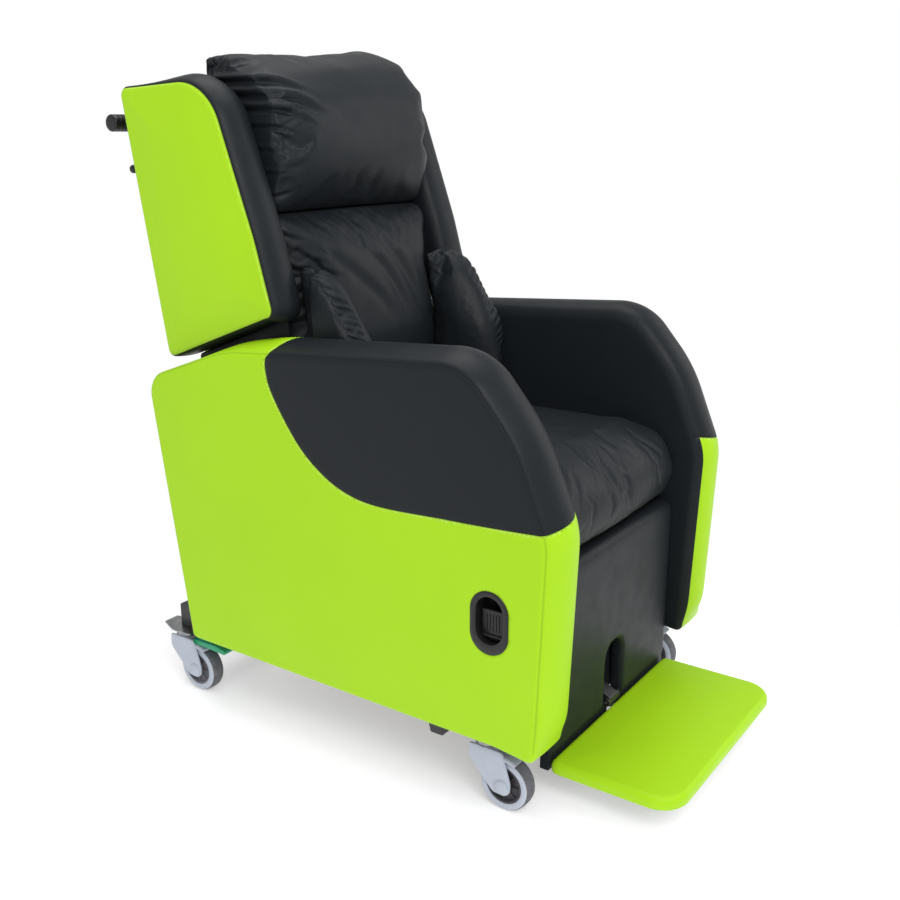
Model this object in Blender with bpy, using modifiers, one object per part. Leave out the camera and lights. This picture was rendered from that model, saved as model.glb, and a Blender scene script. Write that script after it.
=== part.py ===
"""Patient recliner chair on castors: padded arms and wings, reclining back, leg rest and footplate.

Blender 4.5, metres, +Z up. The sitter faces -Y, and +X is the sitter's left. Sizes are written from a
datum on the floor midway between the castors; BOX_SHIFT then moves the whole chair so that the origin
is on the floor below the middle of its overall box.
"""

from math import cos, pi, radians, sin, tan

import bmesh
import bpy
from mathutils import Matrix, Vector

# Overall
BOX_SHIFT = 0.0605
HALF_WIDTH = 0.360
ARM_INNER = 0.257
ARM_CROWN = 0.022
GAP = 0.0003
WELD = 0.00001
ARC_STEPS = 3
SIDES = {"left": 1, "right": -1}

# Seat
DECK_TOP = 0.4368
DECK_BOTTOM = 0.4248
SEAT_BACK = 0.225
SEAT_FRONT = -0.447
SEAT_TOP = 0.585
RAIL_INNER = 0.2225
RAIL_OUTER = 0.2475

# Back: the rear face leans from (REAR_Y, REAR_Z), and depths are measured forward from it
REAR_Y = 0.402
REAR_Z = 0.723
LEAN = 0.1696
RECLINE = (0.2608, 0.480)
UPRIGHT_X = 0.2085
UPRIGHT_DEPTH = 0.100
BACK_TOP = 1.262
PUSH_BAR = (0.545, 1.174)
RELEASE_PIVOT = (0.482, 1.080)
RELEASE_BAR = (0.510, 1.087)

# Leg rest and footplate
KNEE = (-0.412, 0.408)
PAD_HALF = 0.026
PAD_BOTTOM = 0.080
FOOT_HINGE = (-0.4335, 0.0885)
FOOT_TOP = 0.078
FOOT_THICK = 0.028

# Castors
WHEEL_R = 0.050
TRAIL = 0.040
CASTOR_X = 0.309
CASTORS = {
    "rear_left": (CASTOR_X, 0.426, True),
    "rear_right": (-CASTOR_X, 0.426, True),
    "front_left": (CASTOR_X, -0.346, False),
    "front_right": (-CASTOR_X, -0.346, False),
}
PLATE_TOP = 0.1331
WHEEL_STEPS = 24

# Release cup in the right arm
CUP = (-0.376, 0.375)

# Gas springs: lever radius below each hinge, and the travel of each rod
RECLINE_LEVER = 0.100
RECLINE_HALF_ANGLE = radians(15)
LEGREST_LEVER = 0.050
LEGREST_REST_ANGLE = radians(40)

# Colour, roughness and metallic value of each material
MATERIALS = {
    "lime_vinyl": ((0.35, 0.68, 0.02), 0.42, 0.0),
    "charcoal_vinyl": ((0.035, 0.040, 0.045), 0.48, 0.0),
    "black_steel": ((0.02, 0.02, 0.022), 0.40, 1.0),
    "zinc_steel": ((0.55, 0.56, 0.58), 0.35, 1.0),
    "plywood": ((0.62, 0.45, 0.26), 0.60, 0.0),
    "castor_grey": ((0.50, 0.54, 0.58), 0.45, 0.0),
    "tyre_grey": ((0.20, 0.20, 0.22), 0.70, 0.0),
    "hub_dark": ((0.08, 0.08, 0.09), 0.55, 0.0),
    "pedal_green": ((0.03, 0.42, 0.20), 0.35, 0.0),
    "black_plastic": ((0.015, 0.015, 0.017), 0.38, 0.0),
}


# ---------------------------------------------------------------- scene

for old in list(bpy.data.objects):
    bpy.data.objects.remove(old)

chair = bpy.data.collections.new("patient_recliner_chair")
cutters = bpy.data.collections.new("cutters")
bpy.context.scene.collection.children.link(chair)
bpy.context.scene.collection.children.link(cutters)


def make_material(name):
    colour, roughness, metallic = MATERIALS[name]
    made = bpy.data.materials.new(name)
    made.use_nodes = True
    shader = made.node_tree.nodes["Principled BSDF"]
    shader.inputs["Base Color"].default_value = (*colour, 1.0)
    shader.inputs["Roughness"].default_value = roughness
    shader.inputs["Metallic"].default_value = metallic
    return made


finishes = {name: make_material(name) for name in MATERIALS}


def make_pivot(name, place, parent=None):
    """An empty on a joint's axis, which carries the pieces that move with it."""
    empty = bpy.data.objects.new(name, None)
    chair.objects.link(empty)
    empty.parent = parent
    empty.location = Vector(place) - (Vector(parent["place"]) if parent else Vector())
    empty["place"] = place
    return empty


def add(name, mesh, finish, body):
    """A named piece, whose mesh is in the chair's own coordinates, carried by a body's empty."""
    piece = bpy.data.objects.new(name, mesh)
    chair.objects.link(piece)
    piece.parent = body
    piece.location = -Vector(body["place"])
    mesh.materials.clear()
    mesh.materials.append(finishes[finish])
    mesh.shade_smooth()
    mesh.set_sharp_from_angle(angle=radians(35))
    return piece


def combine(piece, meshes, operation):
    """Cuts each mesh from the piece, or joins it on, by a Boolean with a hidden helper."""
    for mesh in meshes:
        helper = bpy.data.objects.new(f"{piece.name}_{operation.lower()}", mesh)
        cutters.objects.link(helper)
        helper.hide_render = True
        helper.display_type = "WIRE"
        helper.parent = datum
        change = piece.modifiers.new(operation.title(), "BOOLEAN")
        change.operation = operation
        change.solver = "EXACT"
        change.object = helper
    return piece


def cut(piece, *meshes):
    return combine(piece, meshes, "DIFFERENCE")


def join(piece, *meshes):
    return combine(piece, meshes, "UNION")


# ---------------------------------------------------------------- shapes


def to_mesh(shape):
    bmesh.ops.recalc_face_normals(shape, faces=shape.faces)
    if shape.calc_volume(signed=True) < 0:
        bmesh.ops.reverse_faces(shape, faces=shape.faces)
    mesh = bpy.data.meshes.new("shape")
    shape.to_mesh(mesh)
    shape.free()
    return mesh


def box(corner_a, corner_b):
    """A box between two opposite corners, given in any order."""
    low = Vector(min(pair) for pair in zip(corner_a, corner_b))
    high = Vector(max(pair) for pair in zip(corner_a, corner_b))
    shape = bmesh.new()
    bmesh.ops.create_cube(shape, size=1.0)
    bmesh.ops.scale(shape, vec=high - low, verts=shape.verts)
    bmesh.ops.translate(shape, vec=(low + high) / 2, verts=shape.verts)
    return to_mesh(shape)


def rod(start, end, radius, sides=12):
    """A round bar from one point to another."""
    start, end = Vector(start), Vector(end)
    along = end - start
    shape = bmesh.new()
    bmesh.ops.create_cone(
        shape,
        cap_ends=True,
        segments=sides,
        radius1=radius,
        radius2=radius,
        depth=along.length,
    )
    turn = Vector((0, 0, 1)).rotation_difference(along).to_matrix().to_4x4()
    shape.transform(Matrix.Translation((start + end) / 2) @ turn)
    return to_mesh(shape)


def bar_x(x_a, x_b, place, radius, sides=12):
    """A round bar along X through a (y, z) place."""
    return rod((x_a, *place), (x_b, *place), radius, sides)


def rounded(corners, steps=ARC_STEPS):
    """Points round a polygon whose corners (u, v, radius) are rounded by arcs."""
    points = []
    for i, (u, v, radius) in enumerate(corners):
        here = Vector((u, v))
        before = (Vector(corners[i - 1][:2]) - here).normalized()
        after = (Vector(corners[(i + 1) % len(corners)][:2]) - here).normalized()
        half = before.angle(after) / 2
        centre = here + (before + after).normalized() * radius / sin(half)
        first = here + before * radius / tan(half) - centre
        last = here + after * radius / tan(half) - centre
        sweep = first.angle_signed(last)
        for k in range(steps + 1):
            points.append(centre + Matrix.Rotation(-sweep * k / steps, 2) @ first)
    return points


def slab(points, low, high):
    """A flat (y, z) outline as a solid between two x places, made by extruding a filled 2D curve."""
    curve = bpy.data.curves.new("slab", "CURVE")
    curve.dimensions = "2D"
    curve.fill_mode = "BOTH"
    curve.extrude = abs(high - low) / 2
    spline = curve.splines.new("POLY")
    spline.points.add(len(points) - 1)
    spline.use_cyclic_u = True
    for point, (u, v) in zip(spline.points, points):
        point.co = (u, v, 0, 1)
    guide = bpy.data.objects.new("slab", curve)
    cutters.objects.link(guide)
    graph = bpy.context.evaluated_depsgraph_get()
    mesh = bpy.data.meshes.new_from_object(guide.evaluated_get(graph))
    bpy.data.objects.remove(guide)
    shape = bmesh.new()
    shape.from_mesh(mesh)
    bmesh.ops.remove_doubles(shape, verts=shape.verts, dist=WELD)
    shape.transform(Matrix(((0, 0, 1, (low + high) / 2), (1, 0, 0, 0), (0, 1, 0, 0), (0, 0, 0, 1))))
    return to_mesh(shape)


def turn_mesh(mesh, rows):
    """Turns a mesh by a matrix given as rows."""
    mesh.transform(Matrix(rows))
    return mesh


def strap(places, half_width, low, high):
    """A flat link along X between two (y, z) places, round at both ends."""
    first, last = (Vector(place) for place in places)
    along = (last - first).normalized()
    outline = []
    for centre, turn in ((first, pi / 2), (last, -pi / 2)):
        for k in range(7):
            spin = Matrix.Rotation(turn + pi * k / 6, 2)
            outline.append(centre + spin @ along * half_width)
    return slab(outline, low, high)


def cushion_stations(low, high, edge, crown=0.0, arc=4, middle=4):
    """(x, inset) of each ring of a padded shape: round at both ends, and swollen by crown between."""
    half, centre = abs(high - low) / 2, (low + high) / 2
    reaches = [half - edge * (1 - sin(pi / 2 * k / arc)) for k in range(arc, -1, -1)]
    inner = half - edge
    reaches += [inner * (1 - 2 * k / middle) for k in range(1, middle)]
    reaches += [-reach for reach in reversed(reaches[: arc + 1])]
    stations = []
    for reach in reaches:
        past = max(abs(reach) - inner, 0.0) / edge
        roundness = edge * (1 - max(1 - past**2, 0.0) ** 0.5)
        stations.append((centre + reach, roundness - crown * (1 - (reach / half) ** 2)))
    return stations


def crowned_stations(low, high, crown, count=6):
    """(x, inset) of each ring of a padded edge that is highest midway and drops to two flat faces."""
    spread = [2 * k / count - 1 for k in range(count + 1)]
    middle, half = (low + high) / 2, (high - low) / 2
    return [(middle + half * t, -crown * (1 - t * t)) for t in spread]


def everywhere(point, normal):
    return 1.0


def loft(outline, stations, share=everywhere):
    """A closed solid from a (y, z) outline repeated at each station, moved in by inset times share."""
    area = sum(a.x * b.y - b.x * a.y for a, b in zip(outline, outline[1:] + outline[:1]))
    points = outline if area > 0 else outline[::-1]
    count = len(points)
    shape = bmesh.new()
    rings = []
    for x, inset in stations:
        ring = []
        for i, point in enumerate(points):
            before = (point - points[i - 1]).normalized()
            after = (points[(i + 1) % count] - point).normalized()
            along = (before + after).normalized()
            normal = Vector((along.y, -along.x))
            place = point - normal * inset * share(point, normal)
            ring.append(shape.verts.new((x, *place)))
        rings.append(ring)
    for low, high in zip(rings, rings[1:]):
        for i in range(count):
            j = (i + 1) % count
            shape.faces.new((low[i], low[j], high[j], high[i]))
    shape.faces.new(rings[0])
    shape.faces.new(rings[-1][::-1])
    return to_mesh(shape)


def turned(name, profile, place, finish, body):
    """A ring turned about X: a closed (radius, x) profile, with a flat facet facing straight down."""
    widen = 1 / cos(pi / WHEEL_STEPS)
    shape = bmesh.new()
    verts = [shape.verts.new((x, 0, radius * widen)) for radius, x in profile]
    for a, b in zip(verts, verts[1:] + verts[:1]):
        shape.edges.new((a, b))
    mesh = bpy.data.meshes.new(name)
    shape.to_mesh(mesh)
    shape.free()
    mesh.materials.append(finishes[finish])
    ring = bpy.data.objects.new(name, mesh)
    chair.objects.link(ring)
    ring.parent = body
    ring.location = Vector(place) - Vector(body["place"])
    ring.rotation_euler.x = pi / WHEEL_STEPS
    spin = ring.modifiers.new("Screw", "SCREW")
    spin.axis = "X"
    spin.steps = WHEEL_STEPS
    spin.render_steps = WHEEL_STEPS
    spin.use_merge_vertices = True
    spin.merge_threshold = WELD
    return ring


def back_place(z, depth):
    """(y, z) of a point at this depth in front of the leaning rear face."""
    return (REAR_Y + (z - REAR_Z) * LEAN - depth, z)


# ---------------------------------------------------------------- bodies

datum = make_pivot("datum", (0, 0, 0))
datum.location.y = BOX_SHIFT
back = make_pivot("back_recline_axis", (0, *RECLINE), datum)
head = make_pivot("head_cushion_axis", (0, *back_place(1.16, 0.13)), back)
release = make_pivot("release_bar_axis", (0, *RELEASE_PIVOT), back)
legrest = make_pivot("legrest_axis", (0, *KNEE), datum)
footplate = make_pivot("footplate_axis", (0, *FOOT_HINGE), legrest)
recline_rod_axis = make_pivot("recline_rod_axis", (0, 0.28, 0.3817), datum)
legrest_rod_axis = make_pivot("legrest_rod_axis", (0, -0.38, 0.364), datum)
paddle_axis = make_pivot("paddle_axis", (-0.349, CUP[0], CUP[1] - 0.029), datum)


# ---------------------------------------------------------------- chassis


def chassis_frame():
    """Welded steel frame: seat rails and cross bars on legs, base rails, castor outriggers and lugs."""
    rear_tube = box((-0.312, 0.392, 0.1334), (0.312, 0.440, 0.1834))
    frame = add("chassis_frame", rear_tube, "black_steel", datum)
    bars = [
        box((-0.230, -0.372, 0.1409), (0.230, -0.342, 0.1789)),
        box((-0.230, -0.374, 0.3955), (0.230, -0.349, 0.4235)),
        box((-0.230, -0.205, 0.3955), (0.230, -0.180, 0.4235)),
        box((-0.230, 0.060, 0.3955), (0.230, 0.085, 0.4235)),
        box((-0.230, 0.195, 0.3955), (0.230, 0.220, 0.4235)),
    ]
    for side in SIDES.values():
        inner, outer = side * RAIL_INNER, side * RAIL_OUTER
        bars += [
            box((inner, -0.375, 0.1399), (outer, 0.400, 0.1799)),
            box((inner, -0.380, 0.3945), (outer, 0.240, 0.4245)),
            box((inner + side * 0.001, -0.345, 0.170), (outer - side * 0.001, -0.315, 0.410)),
            box((inner + side * 0.001, 0.196, 0.170), (outer - side * 0.001, 0.226, 0.410)),
            box((side * 0.228, -0.382, 0.1334), (side * 0.336, -0.310, 0.1405)),
            box((side * 0.228, -0.262, 0.1334), (side * 0.320, -0.216, 0.1405)),
            tie_lug(side),
            knee_lug(side),
            recline_lug(side),
        ]
        for y in (-0.30, 0.12):
            for z in (0.1599, 0.4095):
                bars.append(bar_x(side * 0.240, side * 0.2570, (y, z), 0.009, 10))
    join(frame, *bars)
    bores = [bar_x(side * 0.236, side * 0.260, KNEE, 0.0083, 16) for side in SIDES.values()]
    bores += [bar_x(side * 0.230, side * 0.246, RECLINE, 0.0063, 16) for side in SIDES.values()]
    return cut(frame, *bores)


def tie_lug(side):
    """Tapered block below the frame behind a front castor, where the chair is strapped down."""
    corners = [(-0.262, 0.137, 0.002), (-0.252, 0.100, 0.004), (-0.224, 0.100, 0.004), (-0.216, 0.137, 0.002)]
    return slab(rounded(corners, 2), side * 0.300, side * 0.318)


def knee_lug(side):
    """Plate on the rail's outer face that carries one end of the leg rest's hinge tube."""
    y, z = KNEE
    corners = [
        (-0.300, 0.397, 0.003),
        (-0.300, 0.423, 0.003),
        (y - 0.016, z + 0.015, 0.013),
        (y - 0.016, z - 0.015, 0.013),
        (-0.380, 0.392, 0.010),
    ]
    return slab(rounded(corners, 3), side * 0.2470, side * 0.2546)


def recline_lug(side):
    """Plate that rises from the seat rail's rear end to the back's hinge."""
    corners = [
        (0.140, 0.397, 0.003),
        (0.245, 0.397, 0.010),
        (0.285, 0.470, 0.018),
        (0.280, 0.502, 0.016),
        (0.236, 0.502, 0.012),
        (0.228, 0.435, 0.004),
        (0.205, 0.423, 0.004),
    ]
    return slab(rounded(corners, 3), side * 0.2377, side * 0.2440)


def recline_pin(label, side):
    """Shouldered pin of the recline hinge, its head outside the chassis lug."""
    shank = bar_x(side * 0.200, side * 0.2460, RECLINE, 0.0060, 16)
    pin = add(f"recline_pin_{label}", shank, "zinc_steel", datum)
    return join(pin, bar_x(side * 0.2443, side * 0.2485, RECLINE, 0.0100, 16))


def seat_deck():
    """Plywood deck on the seat rails."""
    panel = box((-0.2365, -0.382, DECK_BOTTOM), (0.2365, SEAT_BACK, DECK_TOP))
    return add("seat_deck", panel, "plywood", datum)


def above_deck(point, normal):
    """Everything but the face that lies on the deck is rounded over and swells."""
    return 1.0 if normal.y > -0.5 else 0.0


def seat_cushion():
    """Foam seat, rounded over at its front edge above the leg rest."""
    corners = [
        (-0.425, DECK_TOP + GAP, 0.022),
        (SEAT_FRONT, 0.500, 0.060),
        (-0.420, SEAT_TOP, 0.050),
        (SEAT_BACK, SEAT_TOP, 0.020),
        (SEAT_BACK, DECK_TOP + GAP, 0.018),
    ]
    outline = rounded(corners)
    stations = cushion_stations(-0.2540, 0.2540, 0.016, crown=0.010)
    return add("seat_cushion", loft(outline, stations, above_deck), "charcoal_vinyl", datum)


# ---------------------------------------------------------------- arms


def arm_share(point, normal):
    """How much of the crown each stretch of the arm's edge has: full on top, most in front, none below."""
    rear_fade = min(max((0.30 - point.x) / 0.20, 0.15), 1.0)
    if normal.y > 0.3:
        return rear_fade
    if normal.x < 0 and normal.y > -0.5:
        return 0.8 + 0.2 * max(normal.y, 0.0) / 0.3
    return 0.0


def arm(label, side):
    """Upholstered arm and side panel in one, with a pocket in its inner face for the plywood board."""
    corners = [
        (0.3545, 0.1465, 0.012),
        (0.4340, 0.690, 0.050),
        (0.2190, 0.767, 0.350),
        (-0.3180, 0.802, 0.100),
        (-0.4150, 0.690, 0.300),
        (-0.4800, 0.535, 0.120),
        (-0.4645, 0.1325, 0.012),
        (-0.3850, 0.1418, 0.200),
    ]
    stations = [(side * x, inset) for x, inset in crowned_stations(ARM_INNER, HALF_WIDTH, ARM_CROWN)]
    piece = add(f"arm_{label}", loft(rounded(corners), stations, arm_share), "lime_vinyl", datum)
    cut(piece, box((side * 0.250, -0.3603, 0.1497), (side * 0.2730, 0.3003, 0.4203)))
    return piece


def side_board(label, side):
    """Plywood board let into the arm, bolted to the chassis spacers."""
    panel = box((side * 0.2573, -0.360, 0.150), (side * 0.2727, 0.300, 0.420))
    return add(f"side_board_{label}", panel, "plywood", datum)


def stadium(centre, half_width, half_height, steps=8):
    """Upright slot outline with half-round ends, as (y, z) points."""
    y, z = centre
    rise = half_height - half_width
    points = []
    for k in range(2 * steps + 2):
        end = 1 if k <= steps else -1
        turn = pi * (k if k <= steps else k - 1) / steps
        points.append(Vector((y + half_width * cos(turn), z + end * rise + half_width * sin(turn))))
    return points


def release_cup(side=-1):
    """Oval cup let into the right arm's outer face, open outward."""
    block = slab(stadium(CUP, 0.0365, 0.0565), side * 0.3220, side * HALF_WIDTH)
    cup = add("release_cup", block, "black_plastic", datum)
    return cut(cup, slab(stadium(CUP, 0.0250, 0.0430), side * 0.3260, side * 0.370))


def release_paddle(side=-1):
    """Flap in the cup, hinged along its foot, whose top is pulled outward."""
    y, z = CUP
    corners = [
        (-0.0225, -0.022, 0.008),
        (-0.0225, 0.024, 0.004),
        (0.0225, 0.024, 0.004),
        (0.0225, -0.022, 0.008),
    ]
    outline = rounded([(y + u, z + v, radius) for u, v, radius in corners])
    paddle = add("release_paddle", slab(outline, side * 0.3430, side * 0.3480), "black_plastic", paddle_axis)
    foot = rod((side * 0.349, y - 0.0195, z - 0.029), (side * 0.349, y + 0.0195, z - 0.029), 0.0035, 10)
    web = box((side * 0.3435, y - 0.0150, z - 0.030), (side * 0.3500, y + 0.0150, z - 0.018))
    return join(paddle, foot, web)


# ---------------------------------------------------------------- back


def back_frame():
    """Welded tube frame of the back, with the hinge tube, spring lever and release bar brackets."""
    pivot = bar_x(-0.2340, 0.2340, RECLINE, 0.0165, 16)
    frame = add("back_frame", pivot, "black_steel", back)
    top = back_place(1.235, UPRIGHT_DEPTH)
    lever = (
        RECLINE[0] + RECLINE_LEVER * sin(RECLINE_HALF_ANGLE),
        RECLINE[1] - RECLINE_LEVER * cos(RECLINE_HALF_ANGLE),
    )
    tubes = [bar_x(-0.2350, 0.2350, back_place(z, UPRIGHT_DEPTH), 0.0100) for z in (0.90, 1.08, 1.215)]
    tubes.append(bar_x(-0.2000, 0.2000, back_place(0.68, UPRIGHT_DEPTH), 0.0100))
    for side in SIDES.values():
        x = side * UPRIGHT_X
        tubes.append(rod((x, *RECLINE), (x, *top), 0.0125))
        tubes.append(strap((RECLINE, lever), 0.011, side * 0.0088, side * 0.0128))
        bracket = strap((back_place(1.08, UPRIGHT_DEPTH), RELEASE_PIVOT), 0.009, side * 0.1275, side * 0.1325)
        tubes.append(bracket)
    join(frame, *tubes)
    bores = [bar_x(side * 0.196, side * 0.240, RECLINE, 0.0063, 16) for side in SIDES.values()]
    bores += [bar_x(side * 0.120, side * 0.140, RELEASE_PIVOT, 0.0047) for side in SIDES.values()]
    bores.append(bar_x(-0.020, 0.020, lever, 0.0045))
    return cut(frame, *bores)


def leaning_panel(low_z, high_z, near_depth, far_depth, radius):
    """(y, z) outline of a panel parallel to the leaning rear face."""
    corners = [
        (*back_place(low_z, near_depth), radius),
        (*back_place(high_z, near_depth), radius),
        (*back_place(high_z, far_depth), radius),
        (*back_place(low_z, far_depth), radius),
    ]
    return rounded(corners, 3)


def back_board():
    """Plywood board behind the back cushions."""
    panel = slab(leaning_panel(0.607, BACK_TOP, 0.118, 0.130, 0.003), -0.232, 0.232)
    return add("back_board", panel, "plywood", back)


def rear_cover():
    """Upholstered panel that closes the back, with holes for the push bar and the release brackets."""
    outline = leaning_panel(0.560, 1.245, 0.0, 0.022, 0.008)
    shape = loft(outline, cushion_stations(-0.2345, 0.2345, 0.007, arc=2))
    cover = add("rear_cover", shape, "lime_vinyl", back)
    holes = []
    for side in SIDES.values():
        y, z = PUSH_BAR
        holes.append(rod((side * UPRIGHT_X, y - 0.12, z), (side * UPRIGHT_X, y, z), 0.0125))
        holes.append(box((side * 0.1245, 0.40, 1.0660), (side * 0.1355, 0.50, 1.0940)))
    return cut(cover, *holes)


def wing_share(point, normal):
    """The wing's edge is crowned on top and in front, and straight behind and below."""
    return 1.0 if normal.y > 0.3 or normal.x < -0.5 else 0.0


def wing(label, side):
    """Padded wing at the side of the back, with a crowned edge between its two faces."""
    corners = [
        (0.4085, 0.723, 0.014),
        (0.4970, 1.240, 0.016),
        (0.2500, 1.249, 0.105),
        (0.1540, 0.970, 0.400),
        (0.1215, 0.834, 0.018),
    ]
    stations = [(side * x, inset) for x, inset in crowned_stations(0.236, 0.322, 0.018)]
    return add(f"wing_{label}", loft(rounded(corners), stations, wing_share), "lime_vinyl", back)


def lumbar_share(point, normal):
    """The lumbar cushion swells forward; its other faces stay flat."""
    return max(-normal.x, 0.0) ** 3


def back_cushion():
    """Lumbar cushion across the back, fullest at the height of the side bolsters."""
    corners = [
        (0.1400, 0.607, 0.030),
        (0.1280, 0.760, 0.200),
        (0.1720, 1.007, 0.035),
        (*back_place(1.007, 0.1305), 0.018),
        (*back_place(0.607, 0.1305), 0.018),
    ]
    stations = cushion_stations(-0.232, 0.232, 0.016, crown=0.022)
    return add("back_cushion", loft(rounded(corners), stations, lumbar_share), "charcoal_vinyl", back)


def bolster_share(point, normal):
    """The bolster narrows to its inner side in front and on top; its rear and bottom stay straight."""
    return min(max(-normal.x, 0.0) + 0.5 * max(normal.y, 0.0), 1.0)


def bolster(label, side):
    """Side support in front of the lumbar cushion, which narrows from the arm to its rounded inner side."""
    corners = [
        (-0.0360, 0.604, 0.020),
        (-0.0340, 0.760, 0.120),
        (0.0500, 0.885, 0.080),
        (0.0920, 0.910, 0.030),
        (0.1405, 0.920, 0.010),
        (0.1125, 0.760, 0.200),
        (0.1255, 0.604, 0.010),
    ]
    stations = [
        (side * 0.2530, 0.010),
        (side * 0.2500, 0.002),
        (side * 0.2400, 0.000),
        (side * 0.2200, 0.001),
        (side * 0.2020, 0.005),
        (side * 0.1860, 0.013),
        (side * 0.1740, 0.025),
        (side * 0.1680, 0.040),
    ]
    shape = loft(rounded(corners), stations, bolster_share)
    piece = add(f"bolster_{label}", shape, "charcoal_vinyl", back)
    return cut(piece, box((side * 0.2355, 0.094, 0.795), (side * 0.270, 0.300, 0.950)))


def head_cushion():
    """Pillow at head height, with its top folded back over the board."""
    corners = [
        (0.184, 1.010, 0.030),
        (0.146, 1.090, 0.080),
        (0.150, 1.316, 0.150),
        (*back_place(1.315, 0.1305), 0.022),
        (*back_place(1.010, 0.1305), 0.018),
    ]
    stations = cushion_stations(-0.232, 0.232, 0.016)
    return add("head_cushion", loft(rounded(corners), stations), "charcoal_vinyl", head)


def push_bar():
    """Transverse bar behind the back, on two arms that pass through the rear cover."""
    bar = add("push_bar", bar_x(-0.300, 0.300, PUSH_BAR, 0.0120), "black_steel", back)
    y, z = PUSH_BAR
    start = back_place(z, UPRIGHT_DEPTH)[0] + 0.0150
    arms = [rod((side * UPRIGHT_X, start, z), (side * UPRIGHT_X, y, z), 0.0100) for side in SIDES.values()]
    return join(bar, *arms)


def push_grip(label, side):
    """Ribbed sleeve with a closed outer end, over one end of the push bar."""
    sleeve = bar_x(side * 0.226, side * 0.306, PUSH_BAR, 0.0150, 14)
    grip = add(f"push_grip_{label}", sleeve, "black_plastic", back)
    ribs = [bar_x(side * x, side * (x + 0.007), PUSH_BAR, 0.0165, 14) for x in (0.229, 0.260, 0.292)]
    join(grip, *ribs)
    return cut(grip, bar_x(side * 0.200, side * 0.3003, PUSH_BAR, 0.0124))


def release_bar():
    """Bar below the push bar that is squeezed upward to free the recline spring."""
    bar = add("release_bar", bar_x(-0.285, 0.285, RELEASE_BAR, 0.0045, 10), "black_steel", release)
    arms = []
    for side in SIDES.values():
        arms.append(rod((side * 0.139, *RELEASE_PIVOT), (side * 0.139, *RELEASE_BAR), 0.0040, 10))
        arms.append(bar_x(side * 0.1255, side * 0.143, RELEASE_PIVOT, 0.0040, 10))
    return join(bar, *arms)


def release_knob(label, side):
    """Rounded plastic end on the release bar."""
    ball = bar_x(side * 0.274, side * 0.293, RELEASE_BAR, 0.0080, 12)
    knob = add(f"release_knob_{label}", ball, "black_plastic", release)
    soften = knob.modifiers.new("Bevel", "BEVEL")
    soften.width = 0.0022
    soften.segments = 1
    soften.limit_method = "ANGLE"
    soften.angle_limit = radians(60)
    return cut(knob, bar_x(side * 0.260, side * 0.2853, RELEASE_BAR, 0.0048, 10))


# ---------------------------------------------------------------- leg rest and footplate


def legrest_frame():
    """Hinge tube of the leg rest, with the flat bars that hold the board and the spring's lever."""
    frame = add("legrest_frame", bar_x(-0.2544, 0.2544, KNEE, 0.0080, 16), "black_steel", legrest)
    lever = (
        KNEE[0] + LEGREST_LEVER * sin(LEGREST_REST_ANGLE),
        KNEE[1] - LEGREST_LEVER * cos(LEGREST_REST_ANGLE),
    )
    bars = []
    for side in SIDES.values():
        bars.append(box((side * 0.140, -0.4079, 0.120), (side * 0.160, -0.4040, 0.406)))
        bars.append(strap((KNEE, lever), 0.0085, side * 0.0088, side * 0.0128))
    join(frame, *bars)
    return cut(frame, bar_x(-0.020, 0.020, lever, 0.0035, 10))


def legrest_board():
    """Plywood board behind the leg rest pad, notched for the spring's lever."""
    board = add("legrest_board", box((-0.235, -0.4035, 0.100), (0.235, -0.3917, 0.375)), "plywood", legrest)
    return cut(board, box((-0.0160, -0.410, 0.345), (0.0160, -0.380, 0.380)))


def legrest_pad():
    """Padded front of the leg rest, wrapped over the hinge tube, with a notch for the foot hinge."""
    y, z = KNEE
    front, top = y - PAD_HALF, z + PAD_HALF
    corners = [
        (front, PAD_BOTTOM, 0.012),
        (front, top, 0.022),
        (y + PAD_HALF, top, 0.022),
        (y + PAD_HALF, 0.387, 0.009),
        (-0.4083, 0.377, 0.009),
        (-0.4083, PAD_BOTTOM, 0.012),
    ]
    stations = cushion_stations(-0.2465, 0.2465, 0.007, arc=3, middle=2)
    pad = add("legrest_pad", loft(rounded(corners), stations), "charcoal_vinyl", legrest)
    notch = [(-0.036, 0.050, 0.001), (-0.036, 0.213, 0.030), (0.036, 0.213, 0.030), (0.036, 0.050, 0.001)]
    # The notch is drawn as (x, z) points; a quarter turn about Z stands it across the pad.
    opening = slab(rounded(notch), 0.35, 0.47)
    turn_mesh(opening, ((0, 1, 0, 0), (-1, 0, 0, 0), (0, 0, 1, 0), (0, 0, 0, 1)))
    slots = [box((side * 0.1385, -0.4084, 0.365), (side * 0.1615, -0.380, 0.412)) for side in SIDES.values()]
    lever_slot = box((-0.0160, -0.4245, 0.350), (0.0160, -0.380, 0.4215))
    return cut(pad, bar_x(-0.260, 0.260, KNEE, 0.0084, 16), opening, lever_slot, *slots)


def foot_hanger():
    """Steel bracket in the pad's notch that carries the footplate's hinge."""
    y, z = FOOT_HINGE
    corners = [
        (-0.4040, 0.195, 0.001),
        (-0.4085, 0.195, 0.001),
        (-0.4085, 0.112, 0.004),
        (y - 0.0060, z + 0.0080, 0.005),
        (y - 0.0070, z - 0.0070, 0.006),
        (y + 0.0090, z - 0.0075, 0.004),
        (-0.4040, 0.103, 0.004),
    ]
    hanger = add("foot_hanger", slab(rounded(corners, 3), -0.0165, 0.0165), "black_steel", legrest)
    return cut(hanger, bar_x(-0.030, 0.030, FOOT_HINGE, 0.0033))


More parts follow.
